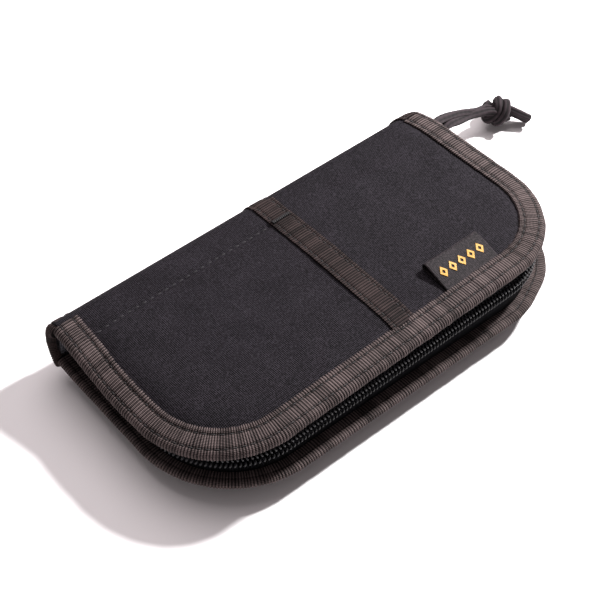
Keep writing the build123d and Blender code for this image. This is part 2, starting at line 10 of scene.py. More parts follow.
import bmesh
import bpy
import numpy as np
from mathutils import Matrix, Vector
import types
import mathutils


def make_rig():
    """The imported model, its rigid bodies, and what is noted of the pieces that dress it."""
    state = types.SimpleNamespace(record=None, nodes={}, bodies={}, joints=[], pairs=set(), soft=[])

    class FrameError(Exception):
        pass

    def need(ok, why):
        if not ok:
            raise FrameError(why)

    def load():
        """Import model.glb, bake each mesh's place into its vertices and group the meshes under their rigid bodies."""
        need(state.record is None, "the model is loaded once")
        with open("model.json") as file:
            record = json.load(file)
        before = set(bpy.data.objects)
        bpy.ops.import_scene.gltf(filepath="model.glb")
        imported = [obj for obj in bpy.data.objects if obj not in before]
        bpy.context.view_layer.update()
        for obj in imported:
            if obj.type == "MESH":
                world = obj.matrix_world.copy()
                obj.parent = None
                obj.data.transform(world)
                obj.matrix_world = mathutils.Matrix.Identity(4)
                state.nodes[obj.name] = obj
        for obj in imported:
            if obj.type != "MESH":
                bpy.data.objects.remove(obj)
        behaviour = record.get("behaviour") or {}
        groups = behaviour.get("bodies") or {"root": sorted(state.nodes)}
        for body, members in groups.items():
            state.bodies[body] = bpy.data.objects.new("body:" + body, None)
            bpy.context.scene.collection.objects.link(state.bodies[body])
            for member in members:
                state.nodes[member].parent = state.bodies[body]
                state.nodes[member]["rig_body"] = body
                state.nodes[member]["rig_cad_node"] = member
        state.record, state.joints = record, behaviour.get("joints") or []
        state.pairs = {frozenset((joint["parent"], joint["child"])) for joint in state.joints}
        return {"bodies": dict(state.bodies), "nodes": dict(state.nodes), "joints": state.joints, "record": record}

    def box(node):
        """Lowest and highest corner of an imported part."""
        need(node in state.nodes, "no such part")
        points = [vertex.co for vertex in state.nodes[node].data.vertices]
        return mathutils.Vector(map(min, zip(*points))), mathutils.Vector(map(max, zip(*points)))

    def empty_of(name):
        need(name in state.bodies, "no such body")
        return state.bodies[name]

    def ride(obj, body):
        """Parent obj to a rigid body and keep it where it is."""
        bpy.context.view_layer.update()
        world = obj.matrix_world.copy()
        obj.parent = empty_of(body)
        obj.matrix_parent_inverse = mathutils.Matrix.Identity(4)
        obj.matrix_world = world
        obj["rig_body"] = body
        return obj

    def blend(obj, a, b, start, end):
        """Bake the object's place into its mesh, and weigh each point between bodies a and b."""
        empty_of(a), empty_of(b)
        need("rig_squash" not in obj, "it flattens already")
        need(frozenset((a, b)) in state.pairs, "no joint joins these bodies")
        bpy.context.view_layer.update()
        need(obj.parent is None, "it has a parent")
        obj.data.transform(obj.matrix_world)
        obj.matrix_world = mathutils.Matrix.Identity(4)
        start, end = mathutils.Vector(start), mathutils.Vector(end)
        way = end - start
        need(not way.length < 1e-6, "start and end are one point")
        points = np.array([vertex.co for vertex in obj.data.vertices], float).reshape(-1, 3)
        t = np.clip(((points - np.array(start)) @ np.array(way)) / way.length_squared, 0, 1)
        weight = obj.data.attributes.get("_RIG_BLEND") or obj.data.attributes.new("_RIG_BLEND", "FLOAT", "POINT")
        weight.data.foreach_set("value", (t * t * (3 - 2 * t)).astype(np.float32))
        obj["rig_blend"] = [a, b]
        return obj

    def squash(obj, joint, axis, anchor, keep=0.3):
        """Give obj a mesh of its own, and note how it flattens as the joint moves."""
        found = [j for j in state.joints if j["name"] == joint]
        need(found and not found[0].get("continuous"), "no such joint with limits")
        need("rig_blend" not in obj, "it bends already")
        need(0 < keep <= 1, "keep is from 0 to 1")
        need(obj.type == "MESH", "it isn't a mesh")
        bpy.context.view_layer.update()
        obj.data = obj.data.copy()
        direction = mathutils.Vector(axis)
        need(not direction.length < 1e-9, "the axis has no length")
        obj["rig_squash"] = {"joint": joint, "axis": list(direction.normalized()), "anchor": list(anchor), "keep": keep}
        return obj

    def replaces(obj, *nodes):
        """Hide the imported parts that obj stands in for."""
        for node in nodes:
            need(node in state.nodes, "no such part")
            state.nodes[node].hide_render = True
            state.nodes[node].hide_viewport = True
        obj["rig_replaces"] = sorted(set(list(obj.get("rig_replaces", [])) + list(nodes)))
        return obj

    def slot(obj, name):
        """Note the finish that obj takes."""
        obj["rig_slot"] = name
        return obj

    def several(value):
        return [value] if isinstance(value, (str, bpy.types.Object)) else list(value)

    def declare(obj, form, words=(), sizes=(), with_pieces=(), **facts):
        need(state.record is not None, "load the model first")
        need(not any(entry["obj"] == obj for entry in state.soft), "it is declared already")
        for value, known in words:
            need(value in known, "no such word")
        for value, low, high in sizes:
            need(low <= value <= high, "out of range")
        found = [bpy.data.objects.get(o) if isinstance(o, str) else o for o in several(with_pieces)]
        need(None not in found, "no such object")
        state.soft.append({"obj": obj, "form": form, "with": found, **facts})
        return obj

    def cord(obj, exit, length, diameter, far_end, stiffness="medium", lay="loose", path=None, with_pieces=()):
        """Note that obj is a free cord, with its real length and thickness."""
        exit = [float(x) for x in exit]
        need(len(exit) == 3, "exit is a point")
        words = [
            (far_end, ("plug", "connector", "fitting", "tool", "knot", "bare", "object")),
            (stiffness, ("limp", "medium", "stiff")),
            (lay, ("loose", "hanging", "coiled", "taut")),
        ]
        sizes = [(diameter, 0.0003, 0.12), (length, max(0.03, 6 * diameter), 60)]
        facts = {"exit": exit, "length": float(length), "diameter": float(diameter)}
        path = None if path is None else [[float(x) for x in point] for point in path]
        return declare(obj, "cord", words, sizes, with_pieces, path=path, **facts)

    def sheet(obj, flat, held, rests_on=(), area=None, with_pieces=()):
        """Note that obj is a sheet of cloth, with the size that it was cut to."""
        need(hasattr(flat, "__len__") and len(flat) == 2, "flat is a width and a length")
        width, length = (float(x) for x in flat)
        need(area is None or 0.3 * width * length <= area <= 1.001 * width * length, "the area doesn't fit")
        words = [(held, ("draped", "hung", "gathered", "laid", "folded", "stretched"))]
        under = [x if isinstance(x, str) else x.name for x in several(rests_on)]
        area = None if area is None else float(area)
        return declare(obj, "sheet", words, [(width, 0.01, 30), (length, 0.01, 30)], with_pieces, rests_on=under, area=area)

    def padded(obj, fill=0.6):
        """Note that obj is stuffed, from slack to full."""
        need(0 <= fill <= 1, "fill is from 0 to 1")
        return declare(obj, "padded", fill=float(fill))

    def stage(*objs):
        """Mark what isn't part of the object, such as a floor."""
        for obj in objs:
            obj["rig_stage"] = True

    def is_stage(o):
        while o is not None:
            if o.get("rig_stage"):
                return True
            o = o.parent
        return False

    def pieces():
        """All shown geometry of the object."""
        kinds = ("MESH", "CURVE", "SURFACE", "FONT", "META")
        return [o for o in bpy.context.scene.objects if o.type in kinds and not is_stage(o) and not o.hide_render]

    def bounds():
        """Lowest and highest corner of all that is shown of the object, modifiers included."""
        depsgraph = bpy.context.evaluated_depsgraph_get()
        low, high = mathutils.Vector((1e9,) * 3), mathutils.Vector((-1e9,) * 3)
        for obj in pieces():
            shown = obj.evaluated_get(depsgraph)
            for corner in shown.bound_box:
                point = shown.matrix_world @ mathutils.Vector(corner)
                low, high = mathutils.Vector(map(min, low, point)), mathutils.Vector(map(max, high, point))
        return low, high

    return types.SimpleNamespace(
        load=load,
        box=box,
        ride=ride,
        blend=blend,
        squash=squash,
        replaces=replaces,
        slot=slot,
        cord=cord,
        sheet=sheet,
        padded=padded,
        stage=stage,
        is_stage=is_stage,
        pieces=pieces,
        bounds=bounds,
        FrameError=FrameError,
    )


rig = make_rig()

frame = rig.load()
cad_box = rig.bounds()
rng = np.random.default_rng(7)
MM = 0.001


# ---------------- places read from the frame
def node_box(node):
    """A node's lowest and highest corners, mm."""
    low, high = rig.box(node)
    return np.array(low) / MM, np.array(high) / MM


JOINTS = {joint["name"]: joint for joint in frame["joints"]}
top_joint = JOINTS["top_hinge"]
TOP_ORIGIN = np.array(top_joint["pos_m"]) / MM
HINGE_Y = TOP_ORIGIN[1]
TOP_ORIGIN[1] = 0.0
TILT = atan2(-top_joint["axis"][2], -top_joint["axis"][0])
LIFT = JOINTS["spine_hinge"]["pos_m"][2] / MM
bottom_low, bottom_high = node_box("bottom_binding")
top_low, top_high = node_box("top_binding")
slider_low, slider_high = node_box("slider_body")
spine_low, spine_high = node_box("spine_shell")
TOP_HALF = (top_high[0] - top_low[0]) / 2 / cos(TILT)
ZIP_HEIGHT = 14.6
COIL_DEPTH = 2.2


BOW_MIDDLE, BOW_SPREAD = 3.0, 21.0
BOW_START, BOW_RUN = -50.0, 30.0


def left_bow(y):
    """How the middle of the left side bows out, as a share of its greatest."""
    return np.exp(-(((y - BOW_MIDDLE) / BOW_SPREAD) ** 2))


def smooth(t):
    """An even step from 0 to 1."""
    t = np.clip(t, 0, 1)
    return t * t * (3 - 2 * t)


DROOP_FIELD, DROOP_RIM = 1.5, 3.3
DROOP_RIM_WIDTH = 17.0
DROOP_START, DROOP_RUN = -45.0, 50.0


def left_droop(u, y):
    """How far the top cover's left end sags, mm: gently over its field and steeply at its bound rim."""
    cx = np.clip(u, TOP_EDGE.left + TOP_EDGE.radius, TOP_EDGE.right - TOP_EDGE.radius)
    dy = y - np.maximum(y, TOP_EDGE.front + TOP_EDGE.radius)
    away = np.hypot(u - cx, dy)
    side = np.clip((cx - u) / np.maximum(away, 1e-6), 0, 1)
    rim = np.clip((DROOP_RIM_WIDTH - TOP_EDGE.radius + away) / DROOP_RIM_WIDTH, 0, 1.15)
    field = np.clip((DROOP_START - u) / DROOP_RUN, 0, 1.1)
    return (DROOP_FIELD * field**2 + DROOP_RIM * rim**2 * side) * smooth((HINGE_Y - 2 - y) / 28)


class Place:
    """A flat frame: u along the length, y towards the spine, h up from the plane.

    bow is how far its left side bows out, mm, and droop is the share of the left end's sag that it takes.
    """

    def __init__(self, origin, angle, bow=0.0, droop=0.0):
        self.bow, self.droop = bow, droop
        self.origin = np.array(origin, float)
        self.along = np.array([cos(angle), 0, sin(angle)])
        self.up = np.array([-sin(angle), 0, cos(angle)])

    def point(self, u, y, h):
        """Row-frame points, mm, from arrays of u, y and h."""
        u, y, h = np.broadcast_arrays(u, y, h)
        if self.droop:
            h = h - self.droop * left_droop(u, y)
        if self.bow:
            u = u - self.bow * left_bow(y) * np.clip((BOW_START - u) / BOW_RUN, 0, 1)
        out = self.origin + u[..., None] * self.along + h[..., None] * self.up
        out[..., 1] += y
        return out

    def turn(self, du, dy):
        """Row-frame directions in the plane."""
        du, dy = np.broadcast_arrays(du, dy)
        out = du[..., None] * self.along
        out[..., 1] += dy
        return out


class Outline:
    """A cover's plan: square at the back, round at both front corners."""

    def __init__(self, left, right, front, back, radius):
        self.left, self.right, self.front, self.back, self.radius = left, right, front, back, radius

    def inset(self, d):
        return Outline(self.left + d, self.right - d, self.front + d, self.back, self.radius - d)

    def walk(self, pitch):
        """Points, outward normals and arc length from the left end round the front to the right end."""
        side = self.back - self.front - self.radius
        front = self.right - self.left - 2 * self.radius
        arc = self.radius * pi / 2
        total = 2 * side + 2 * arc + front
        s = np.linspace(0, total, int(ceil(total / pitch)) + 1)
        marks = np.cumsum([side, arc, front, arc])
        a1 = np.clip((s - marks[0]) / self.radius, 0, pi / 2)
        a2 = np.clip((s - marks[2]) / self.radius, 0, pi / 2)
        angle = pi + a1 + a2
        nx, ny = np.cos(angle), np.sin(angle)
        x = np.where(s < marks[1], self.left + self.radius, self.right - self.radius) + self.radius * nx
        y = self.front + self.radius + self.radius * ny
        flat = (s >= marks[1]) & (s <= marks[2])
        x = np.where(flat, self.left + self.radius + s - marks[1], x)
        y = np.where(s < marks[0], self.back - s, y)
        y = np.where(s > marks[3], self.front + self.radius + s - marks[3], y)
        return x, y, nx, ny, s

    def reach(self, y):
        """The lowest and highest u at each y."""
        drop = np.clip(self.front + self.radius - y, 0, self.radius)
        side = self.radius - np.sqrt(np.maximum(self.radius**2 - drop**2, 0))
        return self.left + side, self.right - side

    def depth(self, u, y):
        """How far inside the three outer sides a point is."""
        cx = np.clip(u, self.left + self.radius, self.right - self.radius)
        cy = np.maximum(y, self.front + self.radius)
        return self.radius - np.hypot(u - cx, y - cy)


BASE = Place((0, 0, LIFT), 0)
TOP = Place(TOP_ORIGIN, TILT, bow=1.2, droop=1.0)
MIDDLE = Place((TOP_ORIGIN[0], 0, LIFT + ZIP_HEIGHT), TILT / 2, droop=0.5)
BOTTOM_EDGE = Outline(bottom_low[0], bottom_high[0], bottom_low[1], HINGE_Y, 42.0)
TOP_EDGE = Outline(-TOP_HALF, TOP_HALF, top_low[1], HINGE_Y, 38.0)
WALL = Outline(-TOP_HALF + 5.8, TOP_HALF - 3.2, top_low[1] + 3.4, HINGE_Y - 4.0, 34.6)
BINDING_WIDTH = 10.5
RIB = 1.15
PATH_STEP = RIB / 5
THREAD = 0.27


# ---------------- mesh helpers
def unit(vectors):
    """The vectors, each at length one."""
    return vectors / np.linalg.norm(vectors, axis=-1)[..., None]


def distance_along(points):
    """How far along a line of points each one is."""
    return np.concatenate([[0], np.cumsum(np.linalg.norm(np.diff(points, axis=0), axis=1))])


def follow(t, run, values):
    """The points or directions at the distances t along a line."""
    return np.stack([np.interp(t, run, values[:, k]) for k in range(values.shape[1])], -1)


def ring_of_points(centre, radius, side, over, sides):
    """A ring of points round a centre, in the plane of two directions."""
    angle = np.arange(sides) * 2 * pi / sides
    return centre + radius * (np.cos(angle)[:, None] * side + np.sin(angle)[:, None] * over)


def mesh_piece(name, points, faces, material, smooth=True):
    """A mesh object from row-frame points in mm."""
    mesh = bpy.data.meshes.new(name)
    mesh.from_pydata((np.asarray(points, float).reshape(-1, 3) * MM).tolist(), [], faces)
    mesh.validate()
    mesh.materials.append(material)
    if smooth:
        mesh.polygons.foreach_set("use_smooth", [True] * len(mesh.polygons))
    piece = bpy.data.objects.new(name, mesh)
    bpy.context.scene.collection.objects.link(piece)
    return piece


def grid_faces(rows, columns, around=False, start=0):
    """Quads of a grid of points, closed across its columns when around is set."""
    count = columns if around else columns - 1
    faces = []
    for i in range(rows - 1):
        for j in range(count):
            k = (j + 1) % columns
            here, beyond = start + i * columns, start + (i + 1) * columns
            faces.append((here + j, here + k, beyond + k, beyond + j))
    return faces


def tube_faces(rings, sides, first=0):
    """The faces of a tube made of rings of points, with a cap at each end."""
    faces = grid_faces(rings, sides, around=True, start=first)
    faces.append(tuple(first + j for j in range(sides)))
    faces.append(tuple(first + (rings - 1) * sides + j for j in reversed(range(sides))))
    return faces


def closed_tube(name, points, material):
    """A closed mesh from rings of points, with a cap at each end."""
    return mesh_piece(name, points, tube_faces(*points.shape[:2]), material)


def closed_sheet(name, top, low, material):
    """A closed mesh between two grids of points of the same shape."""
    rows, columns = top.shape[:2]
    count = rows * columns
    faces = grid_faces(rows, columns)
    faces += [tuple(reversed([v + count for v in face])) for face in grid_faces(rows, columns)]
    rim = list(range(columns))
    rim += [i * columns + columns - 1 for i in range(1, rows)]
    rim += [(rows - 1) * columns + j for j in reversed(range(columns - 1))]
    rim += [i * columns for i in reversed(range(1, rows - 1))]
    for a, b in zip(rim, rim[1:] + rim[:1]):
        faces.append((b, a, a + count, b + count))
    return mesh_piece(name, np.concatenate([top.reshape(-1, 3), low.reshape(-1, 3)]), faces, material)


def wobble(s, scale, seed, parts=4):
    """A smooth irregular curve of about unit height."""
    local = np.random.default_rng(seed)
    out = np.zeros_like(s, dtype=float)
    for k in range(parts):
        out += np.sin(s * 2 * pi / (scale * local.uniform(0.6, 1.7)) + local.uniform(0, 2 * pi))
    return out / parts


# ---------------- materials
def new_material(name):
    """A node material, with its nodes, its Principled shader and its object coordinates."""
    material = bpy.data.materials.new(name)
    material.use_nodes = True
    shader = material.node_tree.nodes["Principled BSDF"]
    place = material.node_tree.nodes.new("ShaderNodeTexCoord").outputs["Object"]
    return material, material.node_tree, shader, place


def attribute_node(tree, name):
    """What a piece stores under a name."""
    node = tree.nodes.new("ShaderNodeAttribute")
    node.attribute_name = name
    return node


def set_inputs(shader, values):
    """Sets constant values on the shader's own sockets."""
    for name, value in values.items():
        shader.inputs[name].default_value = value


def link(tree, a, b):
    tree.links.new(a, b)


def wave(tree, vector, pitch, direction, distortion=0.0):
    """Bands of that pitch, in the units of the vector."""
    node = tree.nodes.new("ShaderNodeTexWave")
    node.bands_direction = direction
    node.inputs["Scale"].default_value = 2 * pi / 20 / pitch
    node.inputs["Distortion"].default_value = distortion
    node.inputs["Detail Scale"].default_value = 2.0
    link(tree, vector, node.inputs["Vector"])
    return node.outputs["Fac"]


def noise(tree, vector, scale, detail=3.0):
    node = tree.nodes.new("ShaderNodeTexNoise")
    node.inputs["Scale"].default_value = scale
    node.inputs["Detail"].default_value = detail
    link(tree, vector, node.inputs["Vector"])
    return node.outputs["Fac"]


def math_node(tree, operation, a, b):
    node = tree.nodes.new("ShaderNodeMath")
    node.operation = operation
    for socket, value in zip(node.inputs, (a, b)):
        if isinstance(value, (int, float)):
            socket.default_value = value
        else:
            link(tree, value, socket)
    return node.outputs[0]


def add_shares(tree, *parts):
    """The sum of several factors, each times its share."""
    total = None
    for factor, share in parts:
        part = math_node(tree, "MULTIPLY", factor, share)
        total = part if total is None else math_node(tree, "ADD", total, part)
    return total


def ramp(tree, factor, stops):
    node = tree.nodes.new("ShaderNodeValToRGB")
    link(tree, factor, node.inputs["Fac"])
    elements = node.color_ramp.elements
    while len(elements) < len(stops):
        elements.new(0.5)
    for element, (position, colour) in zip(elements, stops):
        element.position = position
        element.color = (*colour, 1)
    return node.outputs["Color"]


def bump(tree, shader, height, distance, strength=1.0):
    node = tree.nodes.new("ShaderNodeBump")
    node.inputs["Distance"].default_value = distance
    node.inputs["Strength"].default_value = strength
    link(tree, height, node.inputs["Height"])
    link(tree, node.outputs["Normal"], shader.inputs["Normal"])


def shades(colour, low, high):
    """The colour made darker and lighter."""
    return tuple(c * low for c in colour), tuple(c * high for c in colour)


def canvas_material(name, colour, pitch=0.00065, sheen=0.03, roughness=0.85, depth=0.00012):
    """A fine plain weave with a little colour variation."""
    material, tree, shader, place = new_material(name)
    warp = wave(tree, place, pitch, "X", 0.6)
    weft = wave(tree, place, pitch, "Y", 0.6)
    weave = math_node(tree, "MULTIPLY", warp, weft)
    cloud = noise(tree, place, 90.0, 4.0)
    grain = noise(tree, place, 1500.0, 3.0)
    uneven = math_node(tree, "SUBTRACT", cloud, 0.5)
    mixed = add_shares(tree, (weave, 0.4), (grain, 0.6), (uneven, 0.12))
    low, high = shades(colour, 0.05, 3.0)
    link(tree, ramp(tree, mixed, [(0.30, low), (0.57, high)]), shader.inputs["Base Color"])
    set_inputs(shader, {"Roughness": roughness, "Sheen Weight": sheen, "Sheen Roughness": 0.45})
    set_inputs(shader, {"Sheen Tint": (0.9, 0.9, 1.0, 1), "Specular IOR Level": 0.08})
    bump(tree, shader, mixed, depth)
    return material


def grosgrain_material(name, colour):
    """Ribbed tape: the ribs are in the mesh, and the fine yarns that cross them are here. The stored rib profile also
    paints shade into the colour, between the ribs and in the sewn grooves.
    """
    material, tree, shader, place = new_material(name)
    yarn = wave(tree, attribute_node(tree, "weave").outputs["Vector"], 1.0, "Y", 0.3)
    grain = noise(tree, place, 1500.0, 3.0)
    patch = noise(tree, place, 120.0, 2.0)
    # Painted shade: darker in the valleys between ribs and in the sewn grooves.
    ribs = math_node(tree, "POWER", attribute_node(tree, "rib_and_shade").outputs["Fac"], 1.7)
    uneven = math_node(tree, "SUBTRACT", patch, 0.5)
    tone = add_shares(tree, (ribs, 0.56), (yarn, 0.3), (grain, 0.22), (uneven, 0.3))
    low, high = shades(colour, 0.03, 3.2)
    link(tree, ramp(tree, tone, [(0.36, low), (0.84, high)]), shader.inputs["Base Color"])
    set_inputs(shader, {"Roughness": 0.7, "Sheen Weight": 0.0, "Specular IOR Level": 0.1})
    bump(tree, shader, math_node(tree, "ADD", yarn, grain), 0.00008)
    return material


def yarn_material(name, colour, roughness=0.6, scale=1800.0, contrast=(0.45, 1.5), fold_share=0.5):
    """Sewing thread and braided cord."""
    material, tree, shader, place = new_material(name)
    # Painted shade on the cord: its stored fold profile darkens the colour in the creases between the sheath's folds;
    # thread gets an even middle value.
    folds = attribute_node(tree, "rib_and_shade").outputs["Fac"]
    grain = noise(tree, place, scale, 3.0)
    tone = add_shares(tree, (grain, 1 - fold_share), (folds, fold_share))
    low, high = shades(colour, *contrast)
    link(tree, ramp(tree, tone, [(0.15, low), (0.9, high)]), shader.inputs["Base Color"])
    set_inputs(shader, {"Roughness": roughness, "Sheen Weight": 0.03, "Specular IOR Level": 0.25})
    bump(tree, shader, grain, 0.0001)
    return material


def hard_material(name, colour, roughness, metallic=0.0, coat=0.0):
    """Moulded nylon and painted metal, with fine wear in the gloss."""
    material, tree, shader, place = new_material(name)
    grain = noise(tree, place, 900.0, 4.0)
    low, high = shades(colour, 0.8, 1.25)
    link(tree, ramp(tree, grain, [(0.3, low), (0.7, high)]), shader.inputs["Base Color"])
    gloss = [(0.3, (roughness * 0.85,) * 3), (0.7, (roughness * 1.2,) * 3)]
    link(tree, ramp(tree, grain, gloss), shader.inputs["Roughness"])
    set_inputs(shader, {"Metallic": metallic, "Coat Weight": coat})
    bump(tree, shader, grain, 0.00003)
    return material


CANVAS = canvas_material("canvas_weave", (0.0112, 0.0096, 0.0119), sheen=0.0)
LINING = canvas_material("lining_weave", (0.040, 0.040, 0.045), pitch=0.0006, roughness=0.7)
# The zipper tape is black, and its colour is set darker still as painted shade for the deep gap under the coil.
TAPE = canvas_material("zipper_tape_weave", (0.0022, 0.0022, 0.003), pitch=0.0007, sheen=0.0)
GROSGRAIN = grosgrain_material("grosgrain_ribs", (0.046, 0.0350, 0.0340))
BAND_TAPE = grosgrain_material("band_ribs", (0.0155, 0.0104, 0.0100))
LABEL = canvas_material("label_weave", (0.0165, 0.0130, 0.0145), pitch=0.0005, roughness=0.6)
MOTIF = yarn_material("motif_yarn", (0.52, 0.26, 0.008), 0.45)
SEWING = yarn_material("sewing_thread", (0.016, 0.014, 0.015), 0.55)
SEAM_THREAD = yarn_material("seam_thread", (0.026, 0.023, 0.026), 0.6)
CORD = yarn_material("cord_braid", (0.0132, 0.0086, 0.0104), 0.85, 1200.0, (0.02, 2.2), 0.75)
NYLON = hard_material("coil_nylon", (0.002, 0.002, 0.004), 0.3)
METAL = hard_material("slider_paint", (0.02, 0.02, 0.022), 0.38, metallic=0.3, coat=0.3)


def paint(nodes, material):
    """Gives CAD nodes that stay in view their material."""
    for node in nodes:
        node_object = frame["nodes"][node]
        for material_slot in node_object.material_slots:
            material_slot.material = material


def turn_faces_out(piece):
    """Turns every face of a closed piece outwards."""
    mesh = bmesh.new()
    mesh.from_mesh(piece.data)
    bmesh.ops.recalc_face_normals(mesh, faces=mesh.faces)
    mesh.to_mesh(piece.data)
    mesh.free()


def settle(piece, body, slot, *nodes):
    """Fixes the piece to a body, and names its slot and the CAD nodes that it stands for."""
    turn_faces_out(piece)
    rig.ride(piece, body)
    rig.slot(piece, slot)
    if nodes:
        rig.replaces(piece, *nodes)
    return piece


def store(piece, name, kind, values):
    """Keeps one value or vector for each point of a piece, for its material."""
    attribute = piece.data.attributes.new(name, kind, "POINT")
    field = "vector" if kind == "FLOAT_VECTOR" else "value"
    attribute.data.foreach_set(field, np.asarray(values, np.float32).ravel())


# ---------------- ribbed tape, folded over an edge
def ribbed_strip(
    name, path, section, seed=1, rib_height=0.34, wave_height=0.12, reach=None, material=None, grooves=()
):
    """Grosgrain swept along a path.

    path is (base, inward, up, arc length). section is a closed list of (inset, height, ribs), where
    ribs says how strongly the ribs show there, and more than 1 is the looped selvage. reach is how far
    in the strip's lower leg goes at each place along the path.
    """
    base, inward, up, s = path
    a, h, weight = np.array(section, float).T
    da = np.roll(a, -1) - np.roll(a, 1)
    dh = np.roll(h, -1) - np.roll(h, 1)
    length = np.maximum(np.hypot(da, dh), 1e-6)
    normal_a, normal_h = dh / length, -da / length
    local = np.random.default_rng(seed)
    phase = s / RIB + 0.2 * wobble(s, 9.0, seed + 3)
    count = int(phase.max()) + 4
    tall = np.interp(phase, np.arange(count), local.uniform(0.7, 1.15, count))
    rib_and_shade = np.abs(np.sin(pi * phase)) ** 0.8 * tall
    lift = (rib_height * (rib_and_shade - 0.5))[:, None] * weight[None, :]
    soft = (wave_height * wobble(s, 16.0, seed))[:, None] * np.clip(weight, 0, 1)[None, :]
    selvage = np.clip(weight - 1, 0, 1)[None, :]
    inset = np.broadcast_to(a[None, :], lift.shape)
    if reach is not None:
        fold = -h.min() / 2
        leg = (h < -fold - 0.3)[None, :] & (inset > fold)
        share = (inset - fold) / (a[h < -fold - 0.3].max() - fold)
        inset = np.where(leg, fold + share * (reach[:, None] - fold), inset)
    aa = inset + (lift + soft) * normal_a[None, :] + 0.9 * (rib_and_shade - 0.5)[:, None] * selvage
    hh = h[None, :] + (lift + soft) * normal_h[None, :]
    points = base[:, None, :] + aa[..., None] * inward[:, None, :] + hh[..., None] * up[:, None, :]
    piece = closed_tube(name, points, material or GROSGRAIN)
    across = np.cumsum(np.hypot(np.diff(a, prepend=a[0]), np.diff(h, prepend=h[0])))
    weave = np.stack(np.broadcast_arrays(phase[:, None], across[None, :] / 0.55, 0.0 * aa), -1)
    store(piece, "weave", "FLOAT_VECTOR", weave)
    # Painted shade: the colour darkens in the valleys between ribs, more along each sewn groove, and most on the inner
    # faces where no ribs show.
    shade = np.clip(weight, 0, 1)
    for groove in grooves:
        shade = shade * (1 - 0.4 * np.exp(-(((a - groove) / 0.5) ** 2)))
    store(piece, "rib_and_shade", "FLOAT", np.clip(rib_and_shade[:, None] * shade[None, :], 0, 1))
    return piece


DRAWN_FROM = HINGE_Y - 12.0
DRAWN_CURVE = 0.0125


def drawn_in(y, right_end):
    """How far the ends are drawn in as they go round the spine, mm: the left-hand end only a little."""
    return DRAWN_CURVE * np.maximum(y - DRAWN_FROM, 0) ** 2 * np.where(right_end, 1.0, 0.15)


def rim_path(outline, place, height=0.0, flip=False, tuck=0.0):
    """The path of a strip round a cover's three outer sides. tuck draws in the right-hand front corner."""
    x, y, nx, ny, s = outline.walk(PATH_STEP)
    tucked = tuck * np.clip(-2.6 * nx * ny, 0, 1) * smooth((0.95 - nx) / 0.8)
    x = x - nx * (drawn_in(y, nx > 0) + tucked)
    y = y - ny * tucked
    base = place.point(x, y, height)
    inward = place.point(x - nx * BINDING_WIDTH, y - ny * BINDING_WIDTH, height) - base
    inward = unit(inward)
    up = unit(place.up - (inward @ place.up)[:, None] * inward) * (-1 if flip else 1)
    return base, inward, up, s


SPINE_BULGE = 6.8


def spine_height(x):
    """The distance between the hinge lines at a place along the length."""
    return TOP_ORIGIN[2] - LIFT + (x - TOP_ORIGIN[0]) * tan(TILT)


def spine_path(x, inward_sign, bulge=SPINE_BULGE, drawn=1.0):
    """The path of a strip over the spine, from the top hinge line down to the bottom one."""
    half = spine_height(x) / 2
    angle = np.linspace(pi / 2, -pi / 2, 400)
    run = np.hypot(np.diff(bulge * np.cos(angle)), np.diff(half * np.sin(angle)))
    s = np.concatenate([[0], np.cumsum(run)])
    even = np.linspace(0, s[-1], int(ceil(s[-1] / PATH_STEP)) + 1)
    angle = np.interp(even, s, angle)
    y = HINGE_Y + bulge * np.cos(angle)
    x_line = x + inward_sign * drawn * drawn_in(y, inward_sign < 0)
    base = np.stack([x_line, y, LIFT + half + half * np.sin(angle)], -1)
    up = unit(np.stack([np.zeros_like(angle), np.cos(angle) * half, np.sin(angle) * bulge], -1))
    inward = np.broadcast_to(np.array([float(inward_sign), 0, 0]), base.shape)
    return base, inward, up, even


SELVAGE = 1.4
SECTION_STEP = 0.42
TAPE_LAYER = 0.8
GROOVE_DEPTH = 0.42
GROOVE_WIDTH = 0.5


def face_height(a, width, grooves, crown=0.22):
    """The height of a flat face of the tape at an inset: crowned, with its sewn grooves."""
    middle = np.clip(a / width, 0, 1)
    height = crown * np.sin(pi * middle) ** 0.6
    for groove in grooves:
        height = height - GROOVE_DEPTH * np.exp(-(((a - groove) / GROOVE_WIDTH) ** 2))
    return height


def folded_section(width, under, drop, grooves=(), under_grooves=()):
    """A tape folded over an edge: its wide face, the round edge and its other face."""
    radius = drop / 2
    wide = np.linspace(width, radius, int((width - radius) / SECTION_STEP))
    section = [(width - 0.1, -TAPE_LAYER, 0.3)]
    for a in wide:
        weight = 1.35 if a > width - SELVAGE else 1.0
        section.append((a, face_height(a, width, grooves) + (0.12 if weight > 1 else 0), weight))
    for angle in np.linspace(104, 256, 9):
        t = radians(angle)
        section.append((radius + radius * cos(t), radius * sin(t) - radius, 1.0))
    narrow = np.linspace(radius, under, max(int((under - radius) / SECTION_STEP), 2))
    for a in narrow:
        section.append((a, -drop - face_height(a, under, under_grooves), 1.0))
    section.append((under - 0.1, -drop + TAPE_LAYER, 0.0))
    section.append((radius + 0.4, -drop + TAPE_LAYER, 0.0))
    section.append((radius + 0.1, -radius, 0.0))
    section.append((radius + 0.4, -TAPE_LAYER, 0.0))
    return section


STITCH_SIDES = 6
STITCH_GIRTH = np.array([0.35, 0.95, 1.0, 0.95, 0.35])
STITCH_SINK = np.array([-0.25, 0.0, 0.06, 0.0, -0.25])
STITCH_RISE = 0.12


